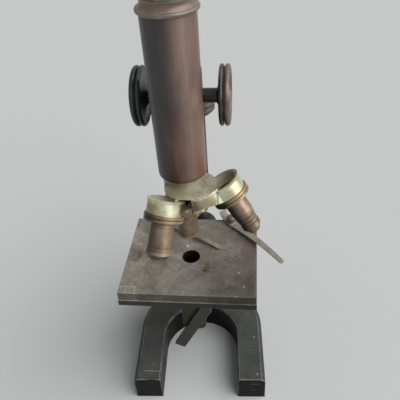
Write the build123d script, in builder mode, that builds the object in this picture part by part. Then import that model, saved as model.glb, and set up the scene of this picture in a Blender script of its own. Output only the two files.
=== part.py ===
from build123d import *
import math
import os

# Compound microscope on a horseshoe foot, in millimetres.
# The table is z = 0, the optical axis is x = y = 0 and the user sits at -Y.

# Heights above the table
stage_height = 115.0
foot_height = 25.0

# Fits
running_gap = 0.05
slide_gap = 0.08
free_gap = 0.4

# Foot
foot_radius = 53.4
foot_arc_y = 5.0
gap_radius = 31.5
arch_y = -6.0
prong_front_y = -50.0
heel_radius = 24.0
foot_bevel = 3.0
foot_inner_bevel = 1.0
foot_waist_round = 14.0
foot_recess_depth = 7.0
foot_recess_radius = 11.0
foot_turn = 3.2

# Pillar and inclination joint
pillar_y = 46.0
pillar_radius = 11.0
pillar_flange_radius = 17.0
pillar_flange_height = 6.0
pillar_flange_bevel = 2.0
pillar_shoulder_step = 2.5
pillar_waist = 0.6
pillar_neck_height = 2.5
spigot_radius = 8.0
spigot_depth = 6.0
tongue_thickness = 14.0
tongue_radius = 11.5
tongue_web_width = 18.0
pillar_screw_radius = 4.0
pillar_screw_head_radius = 8.0
pillar_screw_head_height = 4.0
pillar_screw_length = 24.0
pillar_screw_slot_width = 1.6
pillar_screw_slot_depth = 1.5
axle_radius = 4.0
nut_radius = 8.0
nut_thickness = 5.0
nut_round = 1.5
cheek_thickness = 6.0
joint_below_stage = 41.0

# Limb bracket and column
shelf_thickness = 10.0
ring_radius = 27.0
substage_bore_radius = 18.5
neck_width = 30.0
column_y = 56.0
column_radius = 7.0
column_socket_radius = 15.0
column_base_radius = 10.0
column_base_height = 5.0
column_base_round = 1.5
column_top_above_stage = 81.0
substage_wall = 2.0
substage_flange = 1.5
diaphragm_thickness = 1.5
diaphragm_aperture_radius = 6.0

# Stage
stage_width = 100.0
stage_front_y = -38.5
stage_back_y = 44.4
stage_top_thickness = 7.5
stage_base_thickness = 5.5
stage_base_proud = 0.5
aperture_radius = 6.7
stage_base_bore_radius = 12.0
stage_edge_break = 0.5
stage_screw_radius = 1.75
stage_screw_head_radius = 3.2
stage_screw_head_height = 1.8
stage_screw_inset = 9.0
stage_screw_depth = 4.0
bracket_screw_radius = 2.0
bracket_screw_head_radius = 3.4
bracket_screw_head_height = 2.4
bracket_screw_pitch_radius = 22.5

# Stage clips
clip_post_x = 29.0
clip_post_y = 39.4
clip_post_radius = 2.4
clip_post_depth = 6.0
clip_collar_radius = 4.0
clip_collar_height = 1.0
clip_collar_lift = 0.2
clip_head_radius = 3.6
clip_head_height = 4.2
clip_waist_height = 2.4
clip_waist_radius = 2.0
clip_waist_bevel = 0.8
clip_head_bevel = 1.0
clip_head_crown = 1.4
clip_width = 6.4
clip_tip_width = 3.8
clip_tip_round = 1.8
clip_thickness = 0.8
clip_reach = 60.0
clip_tail = 11.0
clip_tail_rise = 6.0
clip_tail_sag = 2.5
clip_tip_gap = 0.4
clip_bow = 2.0
clip_left_angle = -30.5
clip_right_angle = -47.5

# Mirror bar and its hanger
hanger_y = -12.5
hanger_width = 19.0
hanger_thickness = 3.0
hanger_drop = 48.0
hanger_flange_length = 13.0
hanger_screw_radius = 1.5
hanger_screw_spacing = 11.0
hanger_screw_grip = 5.0
hanger_screw_head_radius = 2.6
hanger_screw_head_height = 1.5
hanger_foot_round = 6.0
bar_pivot_below_stage = 63.4
bar_width = 9.0
bar_thickness = 3.0
bar_below_pivot = 31.3
bar_above_pivot = 27.7
bar_swing = 26.8
bar_end_round = 4.2
bar_pin_radius = 2.2
bar_screw_head_radius = 3.6
bar_screw_head_height = 1.4

# Arm: column sleeve, web and slide housing
sleeve_radius = 10.5
sleeve_bottom_above_stage = 30.0
sleeve_top_above_stage = 94.0
sleeve_cap_thickness = 7.0
web_width = 18.0
web_bottom_above_stage = 64.0
web_top_above_stage = 90.0
web_drop = 12.0
web_curve = 4.0
web_root = 2.0
housing_half_width = 13.2
housing_front_y = 17.0
housing_back_y = 33.0
housing_bottom_above_stage = 62.0
housing_top_above_stage = 140.0
housing_round = 4.0

# Fine focus
micrometer_radius = 18.2
micrometer_height = 8.5
micrometer_gap = 3.5
micrometer_screw_radius = 2.0
micrometer_boss_radius = 7.0
micrometer_boss_height = 4.0
micrometer_groove = 1.0
micrometer_bevel = 1.0

# Coarse focus
pinion_y = 26.0
pinion_above_stage = 122.5
gear_module = 0.8
pinion_teeth = 12
pinion_width = 8.0
gear_backlash = 0.2
rack_tooth_height = 2.1
pinion_dedendum = 1.2
pinion_addendum = 0.92
tooth_root_flare = 0.42
tooth_tip_taper = 0.4
shaft_radius = 2.5
knob_radius = 19.9
knob_outer_x = 31.4
knob_outer_rim = 3.4
knob_inner_rim = 2.3
knob_neck_radius = 4.8
knob_bell = 2.4
knob_rim_height = 3.2
knob_groove_depth = 2.2
knob_groove_width = 0.8
knob_dish_depth = 1.6
knob_screw_head_radius = 4.2
knob_screw_radius = 1.2
knob_screw_depth = 5.0
knob_screw_head_height = 1.6
knob_screw_round = 0.7
cover_width = 20.0
cover_height = 26.0
cover_thickness = 2.0
cover_round = 3.0
cover_screw_inset = 2.8
cover_screw_head_height = 1.2
cover_screw_radius = 1.2
cover_screw_head_radius = 2.2

# Body tube with its slide bar and rack
tube_radius = 16.0
tube_wall = 1.6
tube_end_above_stage = 81.0
tube_length = 104.0
tube_lip = 1.3
slide_narrow = 13.0
slide_wide = 17.0
slide_back_y = 20.4
slide_bottom_gap = 1.5
slide_length = 97.0
rack_width = 6.0
rack_base = 2.0
rack_length = 84.0
rack_pad = 6.0
rack_bottom_gap = 1.0
rack_screw_radius = 1.0
rack_screw_head_radius = 1.8
rack_screw_head_height = 0.9

# Collar, draw tube and eyepiece
collar_bead_radius = 17.8
collar_bead_height = 2.9
collar_bead_step = 0.4
collar_cove = 0.5
collar_neck_radius = 15.4
collar_height = 7.5
collar_spigot_depth = 10.0
draw_radius = 13.0
draw_wall = 1.2
draw_length = 92.0
draw_above_collar = 27.0
draw_rim_radius = 14.4
draw_rim_height = 3.0
eyepiece_wall = 1.0
eyepiece_length = 40.0
cap_radius = 15.5
cap_height = 11.0
cap_top_radius = 12.0
cap_gap = 0.2
cap_rim_height = 4.0
cap_bevel = 0.9
cap_cove = 1.6
cap_edge = 1.0
cap_face_thickness = 2.0
eye_cup_width = 3.0
eyepiece_seat = 2.0
eye_opening_radius = 4.5
eye_lens_radius = 6.0
eye_lens_thickness = 3.0
field_lens_thickness = 4.0
field_stop_thickness = 1.0
lens_sag = 1.6
field_stop_radius = 6.5
field_stop_height = 22.0

# Revolving nosepiece: the objective axes meet in one point on the optical axis
nose_apex_above_stage = 118.4
nose_tilt = 23.0
nose_turn = 30.0
nose_step = 90.0
shell_distance = 59.0
shell_height = 9.6
shell_floor = 2.4
shell_wall = 1.3
cup_radius = 11.8
cup_lip = 0.7
cup_lip_height = 2.0
hub_radius = 6.0
hub_half_width = 8.0
hub_reach = 15.0
hub_floor_rise = 6.5
notch_place = 6.0
seam_place = 11.2
seam_width = 0.5
plate_front = 8.4
plate_back = 20.0
plate_half_width = 17.5
neck_radius = 13.6
neck_height = 4.6
neck_spigot_depth = 7.0
light_path_radius = 8.5
pivot_screw_radius = 2.5
pivot_head_radius = 6.0
pivot_head_height = 2.5
pivot_head_round = 0.8
pivot_screw_length = 10.5

# Objectives: flange shared, barrels of three lengths
thread_radius = 10.0
flange_radius = 12.9
flange_height = 4.6
flange_edge = 0.4
flange_groove = 0.6
lens_radius = 2.6
lens_thickness = 1.6
lens_lip = 0.4
objective_bore_radius = 4.2
cell_thread_radius = 5.0
cell_thread_length = 3.0
low_radius = 7.75
low_end_radius = 8.1
low_ring_radius = 8.55
low_ring = 1.6
low_bevel = 3.0
low_shoulder = 83.6
low_tip = 89.4
medium_radius = 7.55
medium_taper_start = 76.0
medium_end_radius = 6.2
medium_ring_radius = 6.7
medium_ring = 3.2
medium_bevel = 2.2
medium_shoulder = 89.1
medium_tip = 93.4
high_radius = 9.5
high_step = 75.4
high_groove = 0.4
high_band = 2.6
high_bevel = 0.8
high_nose_radius = 7.2
high_ring = 0.3
high_shoulder = 91.2
high_tip = 93.4

# Derived places
stage_top_z = stage_height
stage_base_z = stage_top_z - stage_top_thickness - stage_base_thickness
stage_mid_z = stage_base_z + stage_base_thickness
shelf_z = stage_base_z - shelf_thickness
joint_height = stage_height - joint_below_stage
stage_depth = stage_back_y - stage_front_y
stage_mid_y = (stage_back_y + stage_front_y) / 2
tube_z = stage_height + tube_end_above_stage
tube_top_z = tube_z + tube_length
tube_bore_radius = tube_radius - tube_wall
pinion_z = stage_height + pinion_above_stage
pitch_radius = gear_module * pinion_teeth / 2
pitch_line_y = pinion_y - pitch_radius
sleeve_top_z = stage_height + sleeve_top_above_stage
column_top_z = stage_height + column_top_above_stage
micrometer_z = sleeve_top_z + micrometer_gap
tooth_pitch = math.pi * gear_module
hanger_screw_y = -(ring_radius + substage_bore_radius) / 2


def upright(y):
    """Section plane through the vertical line x = 0 at depth y: local x is radius, local y is height."""
    return Plane(origin=(0, y, 0), x_dir=(1, 0, 0), z_dir=(0, -1, 0))


def vertical(y):
    """Vertical axis at depth y on the centre plane."""
    return Axis((0, y, 0), (0, 0, 1))


def from_arch(edge):
    """Distance of the middle of an edge from the centre of the arch, seen from above."""
    return math.hypot(edge.center().X, edge.center().Y - arch_y)


# Foot: horseshoe with an arch between the prongs and a heel under the pillar
with BuildPart() as straight_foot:
    with BuildSketch():
        with Locations((0, foot_arc_y)):
            Circle(foot_radius)
        with Locations((0, (prong_front_y + foot_arc_y) / 2)):
            Rectangle(2 * foot_radius, foot_arc_y - prong_front_y)
        with Locations((0, pillar_y)):
            Circle(heel_radius)
        with Locations((0, arch_y)):
            Circle(gap_radius, mode=Mode.SUBTRACT)
        with Locations((0, arch_y - foot_radius)):
            Rectangle(2 * gap_radius, 2 * foot_radius, mode=Mode.SUBTRACT)
        waist_corners = vertices().filter_by(lambda corner: corner.Y > pillar_y)
        fillet(waist_corners, foot_waist_round)
    extrude(amount=foot_height)
    top_edges = straight_foot.faces().sort_by(Axis.Z)[-1].edges().filter_by(
        lambda edge: edge.center().Y > prong_front_y + foot_bevel)
    half_way = (gap_radius + foot_radius) / 2
    chamfer(top_edges.filter_by(lambda edge: from_arch(edge) < half_way), foot_inner_bevel)
    top_edges = straight_foot.faces().sort_by(Axis.Z)[-1].edges().filter_by(
        lambda edge: edge.center().Y > prong_front_y + foot_bevel)
    chamfer(top_edges.filter_by(lambda edge: from_arch(edge) > half_way), foot_bevel)
    with Locations((0, pillar_y, foot_height - spigot_depth)):
        Cylinder(spigot_radius, spigot_depth, align=(Align.CENTER, Align.CENTER, Align.MIN),
                 mode=Mode.SUBTRACT)
    with Locations((0, pillar_y, 0)):
        Cylinder(foot_recess_radius, foot_recess_depth, align=(Align.CENTER, Align.CENTER, Align.MIN),
                 mode=Mode.SUBTRACT)
        Cylinder(pillar_screw_radius, foot_height, align=(Align.CENTER, Align.CENTER, Align.MIN),
                 mode=Mode.SUBTRACT)

with BuildPart() as foot:
    add(straight_foot.part.rotate(vertical(pillar_y), foot_turn))

# Pillar: turned foot and stem with a flat tongue for the inclination axle
pillar_stem_top = joint_height - tongue_radius - pillar_neck_height
pillar_shoulder = pillar_flange_radius - pillar_shoulder_step
with BuildPart() as pillar:
    with BuildSketch(upright(pillar_y)):
        with BuildLine():
            flange_top = foot_height + pillar_flange_height
            Polyline((0, foot_height - spigot_depth), (spigot_radius, foot_height - spigot_depth),
                     (spigot_radius, foot_height), (pillar_flange_radius, foot_height),
                     (pillar_flange_radius, flange_top - pillar_flange_bevel), (pillar_shoulder, flange_top))
            Line((pillar_radius, pillar_stem_top), (0, pillar_stem_top))
            ThreePointArc((pillar_shoulder, flange_top),
                          (pillar_radius + pillar_waist, (flange_top * 2 + pillar_stem_top) / 3),
                          (pillar_radius, pillar_stem_top))
            Line((0, pillar_stem_top), (0, foot_height - spigot_depth))
        make_face()
    revolve(axis=vertical(pillar_y))
    with BuildSketch(Plane.YZ):
        with Locations((pillar_y, joint_height)):
            Circle(tongue_radius)
        with Locations((pillar_y, joint_height)):
            Rectangle(tongue_web_width, tongue_radius + 2 * pillar_neck_height,
                      align=(Align.CENTER, Align.MAX))
    extrude(amount=tongue_thickness / 2, both=True)
    with BuildSketch(Plane.YZ):
        with Locations((pillar_y, joint_height)):
            Circle(axle_radius + running_gap)
    extrude(amount=tongue_thickness, both=True, mode=Mode.SUBTRACT)
    with Locations((0, pillar_y, 0)):
        Cylinder(pillar_screw_radius, foot_recess_depth + pillar_screw_length,
                 align=(Align.CENTER, Align.CENTER, Align.MIN), mode=Mode.SUBTRACT)

# Screw that draws the pillar down on the foot
with BuildPart() as pillar_screw:
    with Locations((0, pillar_y, foot_recess_depth)):
        Cylinder(pillar_screw_head_radius, pillar_screw_head_height,
                 align=(Align.CENTER, Align.CENTER, Align.MAX))
        Cylinder(pillar_screw_radius, pillar_screw_length, align=(Align.CENTER, Align.CENTER, Align.MIN))
    with Locations((0, pillar_y, foot_recess_depth - pillar_screw_head_height)):
        Box(2 * pillar_screw_head_radius, pillar_screw_slot_width, 2 * pillar_screw_slot_depth,
            mode=Mode.SUBTRACT)

# Limb bracket: ring under the stage, neck to the column and two cheeks on the axle
cheek_inner_x = tongue_thickness / 2 + free_gap
cheek_outer_x = cheek_inner_x + cheek_thickness
with BuildPart() as limb_bracket:
    with BuildSketch(Plane.XY.offset(shelf_z)):
        Circle(ring_radius)
        with Locations((0, column_y / 2)):
            Rectangle(neck_width, column_y)
        with Locations((0, column_y)):
            Circle(column_socket_radius)
        Circle(substage_bore_radius, mode=Mode.SUBTRACT)
    extrude(amount=shelf_thickness)
    with BuildSketch(Plane.YZ.offset(cheek_inner_x)):
        with Locations((pillar_y, joint_height)):
            Circle(tongue_radius)
        with Locations((pillar_y, (joint_height + shelf_z) / 2)):
            Rectangle(2 * tongue_radius, shelf_z - joint_height)
        with Locations((pillar_y, joint_height)):
            Circle(axle_radius, mode=Mode.SUBTRACT)
    extrude(amount=cheek_thickness)
    mirror(about=Plane.YZ)
    with Locations((0, column_y, shelf_z)):
        Cylinder(column_radius, shelf_thickness, align=(Align.CENTER, Align.CENTER, Align.MIN),
                 mode=Mode.SUBTRACT)
    with PolarLocations(bracket_screw_pitch_radius, 3, start_angle=90):
        Cylinder(bracket_screw_radius, 2 * stage_height, mode=Mode.SUBTRACT)
    with Locations(Plane.XY.offset(shelf_z)):
        with PolarLocations(bracket_screw_pitch_radius, 3, start_angle=90):
            Cylinder(bracket_screw_head_radius, 2 * bracket_screw_head_height, mode=Mode.SUBTRACT)
    with Locations((-hanger_screw_spacing / 2, hanger_screw_y, shelf_z),
                   (hanger_screw_spacing / 2, hanger_screw_y, shelf_z)):
        Cylinder(hanger_screw_radius, 2 * hanger_screw_grip, mode=Mode.SUBTRACT)

# Axle of the inclination joint and its two round nuts
with BuildPart() as inclination_axle:
    with BuildSketch(Plane.YZ):
        with Locations((pillar_y, joint_height)):
            Circle(axle_radius)
    extrude(amount=cheek_outer_x + nut_thickness, both=True)

with BuildPart() as inclination_nuts:
    with BuildSketch(Plane.YZ.offset(cheek_outer_x)):
        with Locations((pillar_y, joint_height)):
            Circle(nut_radius)
            Circle(axle_radius, mode=Mode.SUBTRACT)
    extrude(amount=nut_thickness)
    nut_rim = inclination_nuts.faces().sort_by(Axis.X)[-1].edges().sort_by(SortBy.RADIUS)[-1]
    fillet(nut_rim, nut_round)
    mirror(about=Plane.YZ)

# Column that carries the arm
with BuildPart() as column:
    with Locations((0, column_y, shelf_z)):
        Cylinder(column_radius, column_top_z - shelf_z, align=(Align.CENTER, Align.CENTER, Align.MIN))
    with Locations((0, column_y, stage_base_z)):
        Cylinder(column_base_radius, column_base_height, align=(Align.CENTER, Align.CENTER, Align.MIN))
    fillet(column.edges().filter_by(GeomType.CIRCLE).sort_by(SortBy.RADIUS)[-1], column_base_round)

# Stage base plate, a little proud of the top plate
stage_screw_places = [(sx * (stage_width / 2 - stage_screw_inset), y)
                      for sx in (-1, 1)
                      for y in (stage_front_y + stage_screw_inset, stage_back_y - 2 * stage_screw_inset)]
with BuildPart() as stage_base:
    with BuildSketch(Plane.XY.offset(stage_base_z)):
        with Locations((0, stage_mid_y)):
            Rectangle(stage_width + 2 * stage_base_proud, stage_depth + 2 * stage_base_proud)
        Circle(stage_base_bore_radius, mode=Mode.SUBTRACT)
    extrude(amount=stage_base_thickness)
    stage_base_rim = stage_base.faces().sort_by(Axis.Z)[-1].outer_wire().edges()
    chamfer(stage_base_rim, stage_edge_break)
    with Locations(*[(x, y, stage_base_z) for x, y in stage_screw_places]):
        Cylinder(stage_screw_radius, 3 * stage_base_thickness, mode=Mode.SUBTRACT)
        Cylinder(stage_screw_head_radius, 2 * stage_screw_head_height, mode=Mode.SUBTRACT)
    with Locations(Plane.XY.offset(stage_base_z)):
        with PolarLocations(bracket_screw_pitch_radius, 3, start_angle=90):
            Cylinder(bracket_screw_radius, 3 * stage_base_thickness, mode=Mode.SUBTRACT)

# Stage top plate with the aperture and the clip sockets
with BuildPart() as stage_top:
    with BuildSketch(Plane.XY.offset(stage_mid_z)):
        with Locations((0, stage_mid_y)):
            Rectangle(stage_width, stage_depth)
        Circle(aperture_radius, mode=Mode.SUBTRACT)
    extrude(amount=stage_top_thickness)
    stage_top_rim = stage_top.faces().sort_by(Axis.Z)[-1].outer_wire().edges()
    chamfer(stage_top_rim, stage_edge_break)
    with Locations((clip_post_x, clip_post_y, stage_top_z), (-clip_post_x, clip_post_y, stage_top_z)):
        Cylinder(clip_post_radius + running_gap, clip_post_depth + free_gap,
                 align=(Align.CENTER, Align.CENTER, Align.MAX), mode=Mode.SUBTRACT)
    with Locations(*[(x, y, stage_mid_z) for x, y in stage_screw_places]):
        Cylinder(stage_screw_radius, 2 * stage_screw_depth, mode=Mode.SUBTRACT)

# Screws that hold the two stage plates together, from below
with BuildPart() as stage_screws:
    with Locations(*[(x, y, stage_base_z) for x, y in stage_screw_places]):
        Cylinder(stage_screw_head_radius, stage_screw_head_height,
                 align=(Align.CENTER, Align.CENTER, Align.MIN))
        Cylinder(stage_screw_radius, stage_base_thickness + stage_screw_depth,
                 align=(Align.CENTER, Align.CENTER, Align.MIN))

# Screws that hold the stage on the limb bracket
with BuildPart() as bracket_screws:
    with Locations(Plane.XY.offset(shelf_z)):
        with PolarLocations(bracket_screw_pitch_radius, 3, start_angle=90):
            Cylinder(bracket_screw_head_radius, bracket_screw_head_height,
                     align=(Align.CENTER, Align.CENTER, Align.MIN))
            Cylinder(bracket_screw_radius, shelf_thickness + stage_base_thickness,
                     align=(Align.CENTER, Align.CENTER, Align.MIN))

# Substage sleeve in the bracket ring, with its diaphragm
with BuildPart() as substage_sleeve:
    with BuildSketch(Plane.XY.offset(shelf_z)):
        Circle(substage_bore_radius)
        Circle(substage_bore_radius - substage_wall, mode=Mode.SUBTRACT)
    extrude(amount=shelf_thickness)
    with BuildSketch(Plane.XY.offset(shelf_z)):
        Circle(substage_bore_radius - substage_wall)
        Circle(substage_bore_radius - substage_wall - substage_flange, mode=Mode.SUBTRACT)
    extrude(amount=substage_flange)

with BuildPart() as diaphragm:
    with BuildSketch(Plane.XY.offset(shelf_z + substage_flange)):
        Circle(substage_bore_radius - substage_wall)
        Circle(diaphragm_aperture_radius, mode=Mode.SUBTRACT)
    extrude(amount=diaphragm_thickness)

# Hanger of the mirror bar: an angle plate screwed under the bracket ring
hanger_front_y = hanger_y - hanger_thickness / 2
bar_pivot_z = stage_height - bar_pivot_below_stage
with BuildPart() as mirror_hanger:
    with BuildSketch(Plane.XZ.offset(-hanger_y - hanger_thickness / 2)):
        with Locations((0, shelf_z - hanger_drop / 2)):
            Rectangle(hanger_width, hanger_drop)
    extrude(amount=hanger_thickness)
    hanger_feet = mirror_hanger.edges().filter_by(Axis.Y).sort_by(Axis.Z)[:2]
    fillet(hanger_feet, hanger_foot_round)
    with Locations((0, hanger_front_y, shelf_z)):
        Box(hanger_width, hanger_flange_length, hanger_thickness, align=(Align.CENTER, Align.MAX, Align.MAX))
    with BuildSketch(Plane.XZ):
        with Locations((0, bar_pivot_z)):
            Circle(bar_pin_radius)
    extrude(amount=2 * ring_radius, both=True, mode=Mode.SUBTRACT)
    with Locations((-hanger_screw_spacing / 2, hanger_screw_y, shelf_z),
                   (hanger_screw_spacing / 2, hanger_screw_y, shelf_z)):
        Cylinder(hanger_screw_radius, 4 * hanger_thickness, mode=Mode.SUBTRACT)

with BuildPart() as hanger_screws:
    with Locations((-hanger_screw_spacing / 2, hanger_screw_y, shelf_z),
                   (hanger_screw_spacing / 2, hanger_screw_y, shelf_z)):
        Cylinder(hanger_screw_radius, hanger_thickness, align=(Align.CENTER, Align.CENTER, Align.MAX))
        Cylinder(hanger_screw_radius, hanger_screw_grip, align=(Align.CENTER, Align.CENTER, Align.MIN))
    with Locations((-hanger_screw_spacing / 2, hanger_screw_y, shelf_z - hanger_thickness),
                   (hanger_screw_spacing / 2, hanger_screw_y, shelf_z - hanger_thickness)):
        Cylinder(hanger_screw_head_radius, hanger_screw_head_height,
                 align=(Align.CENTER, Align.CENTER, Align.MAX))

# Mirror bar, swung aside on its pivot screw
bar_back_y = hanger_front_y - free_gap
bar_axis = Axis((0, bar_back_y, bar_pivot_z), (0, -1, 0))
bar_screw_seat = bar_thickness - bar_screw_head_height
screw_section = Plane(origin=(0, bar_back_y, bar_pivot_z), x_dir=(1, 0, 0), z_dir=(0, 0, -1))
bar_plane = Plane(origin=(0, bar_back_y, bar_pivot_z),
                  x_dir=Vector(1, 0, 0).rotate(Axis.Y, bar_swing), z_dir=(0, -1, 0))
with BuildPart() as mirror_bar:
    with BuildSketch(bar_plane):
        with Locations((0, (bar_above_pivot - bar_below_pivot) / 2)):
            Rectangle(bar_width, bar_above_pivot + bar_below_pivot)
        fillet(vertices().group_by(Axis.Y)[-1], bar_end_round)
        Circle(bar_pin_radius + running_gap, mode=Mode.SUBTRACT)
    extrude(amount=bar_thickness)
    with BuildSketch(screw_section):
        Polygon((0, bar_screw_seat), (bar_pin_radius + running_gap, bar_screw_seat),
                (bar_screw_head_radius + running_gap, bar_thickness), (0, bar_thickness), align=None)
    revolve(axis=bar_axis, mode=Mode.SUBTRACT)

# Countersunk screw of the mirror bar, its head flush with the bar
with BuildPart() as mirror_bar_screw:
    with BuildSketch(screw_section):
        Polygon((0, -free_gap - hanger_thickness), (bar_pin_radius, -free_gap - hanger_thickness),
                (bar_pin_radius, bar_screw_seat), (bar_screw_head_radius, bar_thickness),
                (0, bar_thickness), align=None)
    revolve(axis=bar_axis)

# Stage clips: post with a round head, and a spring strip with a turned-up tail
clip_strip_z = stage_top_z + clip_collar_height
clip_places = {"left": (-clip_post_x, clip_left_angle), "right": (clip_post_x, clip_right_angle)}
clip_posts = {}
clip_strips = {}
for side, (post_x, angle) in clip_places.items():
    post_section = Plane(origin=(post_x, clip_post_y, stage_top_z), x_dir=(1, 0, 0), z_dir=(0, -1, 0))
    neck_z = clip_collar_height + clip_thickness
    head_z = neck_z + clip_waist_height
    head_top = head_z + clip_head_height
    with BuildPart() as clip_post:
        with BuildSketch(post_section):
            with BuildLine():
                Polyline((0, -clip_post_depth), (clip_post_radius, -clip_post_depth),
                         (clip_post_radius, clip_collar_lift),
                         (clip_collar_radius, clip_collar_lift), (clip_collar_radius, clip_collar_height),
                         (clip_post_radius, clip_collar_height), (clip_post_radius, neck_z),
                         (clip_collar_radius, neck_z), (clip_waist_radius, neck_z + clip_waist_bevel),
                         (clip_waist_radius, head_z), (clip_head_radius - clip_head_bevel / 2, head_z),
                         (clip_head_radius, head_z + clip_head_bevel / 2),
                         (clip_head_radius, head_top - clip_head_crown),
                         (clip_head_radius - clip_head_bevel, head_top - clip_head_crown / 3),
                         (0, head_top), close=True)
            make_face()
        revolve(axis=Axis((post_x, clip_post_y, 0), (0, 0, 1)))
    clip_posts[side] = clip_post

    along = Vector(1, 0, 0).rotate(Axis.Z, angle)
    strip_plane = Plane(origin=(post_x, clip_post_y, clip_strip_z), x_dir=along,
                        z_dir=along.cross(Vector(0, 0, 1)))
    with BuildPart() as clip_strip:
        with BuildSketch(strip_plane):
            with BuildLine():
                tip_z = clip_tip_gap - clip_collar_height
                tail_start = clip_collar_radius + clip_thickness
                ThreePointArc((-clip_tail, clip_tail_rise), (-clip_tail + clip_tail_sag, clip_tail_sag),
                              (-tail_start, 0))
                Line((-tail_start, 0), (tail_start, 0))
                ThreePointArc((tail_start, 0), (clip_reach / 2, clip_bow), (clip_reach, tip_z))
                Line((clip_reach, tip_z), (clip_reach, tip_z + clip_thickness))
                ThreePointArc((clip_reach, tip_z + clip_thickness),
                              (clip_reach / 2, clip_bow + clip_thickness),
                              (tail_start, clip_thickness))
                Line((tail_start, clip_thickness), (-tail_start, clip_thickness))
                ThreePointArc((-tail_start, clip_thickness),
                              (-clip_tail + clip_tail_sag + clip_thickness / 2,
                               clip_tail_sag + clip_thickness),
                              (-clip_tail + clip_thickness, clip_tail_rise))
                Line((-clip_tail + clip_thickness, clip_tail_rise), (-clip_tail, clip_tail_rise))
            make_face()
        extrude(amount=clip_width / 2, both=True)
        with BuildSketch(Plane(origin=(post_x, clip_post_y, stage_top_z), x_dir=along, z_dir=(0, 0, 1))):
            Polygon((-clip_tail, -clip_width / 2), (tail_start, -clip_width / 2),
                    (clip_reach, -clip_tip_width / 2), (clip_reach, clip_tip_width / 2),
                    (tail_start, clip_width / 2), (-clip_tail, clip_width / 2), align=None)
        extrude(amount=clip_tail_rise + clip_collar_height, mode=Mode.INTERSECT)
        tip = strip_plane.from_local_coords((clip_reach, 0, 0))
        tip_corners = clip_strip.edges().filter_by(Axis.Z).sort_by_distance(tip)[:2]
        fillet(tip_corners, clip_tip_round)
        with Locations((post_x, clip_post_y, clip_strip_z)):
            Cylinder(clip_post_radius, 3 * clip_thickness, mode=Mode.SUBTRACT)
    clip_strips[side] = clip_strip

# Arm: sleeve on the column, web, and housing with the dovetail groove for the tube
sleeve_bottom_z = stage_height + sleeve_bottom_above_stage
housing_bottom_z = stage_height + housing_bottom_above_stage
housing_top_z = stage_height + housing_top_above_stage
web_bottom_z = stage_height + web_bottom_above_stage
web_top_z = stage_height + web_top_above_stage
tooth_height = rack_tooth_height * gear_module
rack_tip_y = pitch_line_y + gear_module
rack_root_y = rack_tip_y - tooth_height
pinion_tip_radius = pitch_radius + gear_module
pinion_root_radius = pitch_radius - pinion_dedendum * gear_module
with BuildPart() as arm:
    with Locations((0, column_y, sleeve_bottom_z)):
        Cylinder(sleeve_radius, sleeve_top_z - sleeve_bottom_z, align=(Align.CENTER, Align.CENTER, Align.MIN))
    with BuildSketch(Plane.YZ):
        with BuildLine():
            Line((housing_back_y - web_root, web_top_z), (column_y, web_top_z))
            Line((column_y, web_top_z), (column_y, web_bottom_z - web_drop))
            ThreePointArc((column_y, web_bottom_z - web_drop),
                          ((column_y + housing_back_y) / 2, web_bottom_z - web_curve),
                          (housing_back_y - web_root, web_bottom_z))
            Line((housing_back_y - web_root, web_bottom_z), (housing_back_y - web_root, web_top_z))
        make_face()
    extrude(amount=web_width / 2, both=True)
    with BuildSketch(Plane.XY.offset(housing_bottom_z)):
        with Locations((0, (housing_front_y + housing_back_y) / 2)):
            Rectangle(2 * housing_half_width, housing_back_y - housing_front_y)
        fillet(vertices().group_by(Axis.Y)[-1], housing_round)
    extrude(amount=housing_top_z - housing_bottom_z)
    with BuildSketch(Plane.XY.offset(housing_bottom_z)):
        with BuildLine():
            Polyline((-slide_narrow / 2 - slide_gap, housing_front_y - free_gap),
                     (-slide_narrow / 2 - slide_gap, housing_front_y),
                     (-slide_wide / 2 - slide_gap, slide_back_y + slide_gap),
                     (slide_wide / 2 + slide_gap, slide_back_y + slide_gap),
                     (slide_narrow / 2 + slide_gap, housing_front_y),
                     (slide_narrow / 2 + slide_gap, housing_front_y - free_gap), close=True)
        make_face()
        with Locations((0, (slide_back_y + rack_tip_y + free_gap) / 2)):
            Rectangle(rack_width + 2 * free_gap, rack_tip_y + free_gap - slide_back_y)
    extrude(amount=housing_top_z - housing_bottom_z, mode=Mode.SUBTRACT)
    with BuildSketch(Plane.YZ):
        with Locations((pinion_y, pinion_z)):
            Circle(pinion_tip_radius + free_gap)
    extrude(amount=pinion_width / 2 + free_gap, both=True, mode=Mode.SUBTRACT)
    with BuildSketch(Plane.YZ):
        with Locations((pinion_y, pinion_z)):
            Circle(shaft_radius + running_gap)
    extrude(amount=2 * housing_half_width, both=True, mode=Mode.SUBTRACT)
    with Locations((0, column_y, sleeve_bottom_z)):
        Cylinder(column_radius + running_gap, sleeve_top_z - sleeve_cap_thickness - sleeve_bottom_z,
                 align=(Align.CENTER, Align.CENTER, Align.MIN), mode=Mode.SUBTRACT)
    with Locations((0, column_y, sleeve_top_z)):
        Cylinder(micrometer_screw_radius + running_gap, 3 * sleeve_cap_thickness, mode=Mode.SUBTRACT)
    with Locations((0, housing_back_y, pinion_z)):
        Box(pinion_width + 2 * free_gap, housing_back_y - pinion_y, 2 * (pinion_tip_radius + free_gap),
            align=(Align.CENTER, Align.MAX, Align.CENTER), mode=Mode.SUBTRACT)

# Cover over the pinion at the back of the housing
cover_screw_x = cover_width / 2 - cover_screw_inset
cover_screw_z = cover_height / 2 - cover_screw_inset
cover_screw_places = [(sx * cover_screw_x, sz * cover_screw_z) for sx in (-1, 1) for sz in (-1, 1)]
with BuildPart() as pinion_cover:
    with BuildSketch(Plane.XZ.offset(-housing_back_y)):
        with Locations((0, pinion_z)):
            RectangleRounded(cover_width, cover_height, cover_round)
            with Locations(*cover_screw_places):
                Circle(cover_screw_radius, mode=Mode.SUBTRACT)
    extrude(amount=-cover_thickness)

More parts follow.
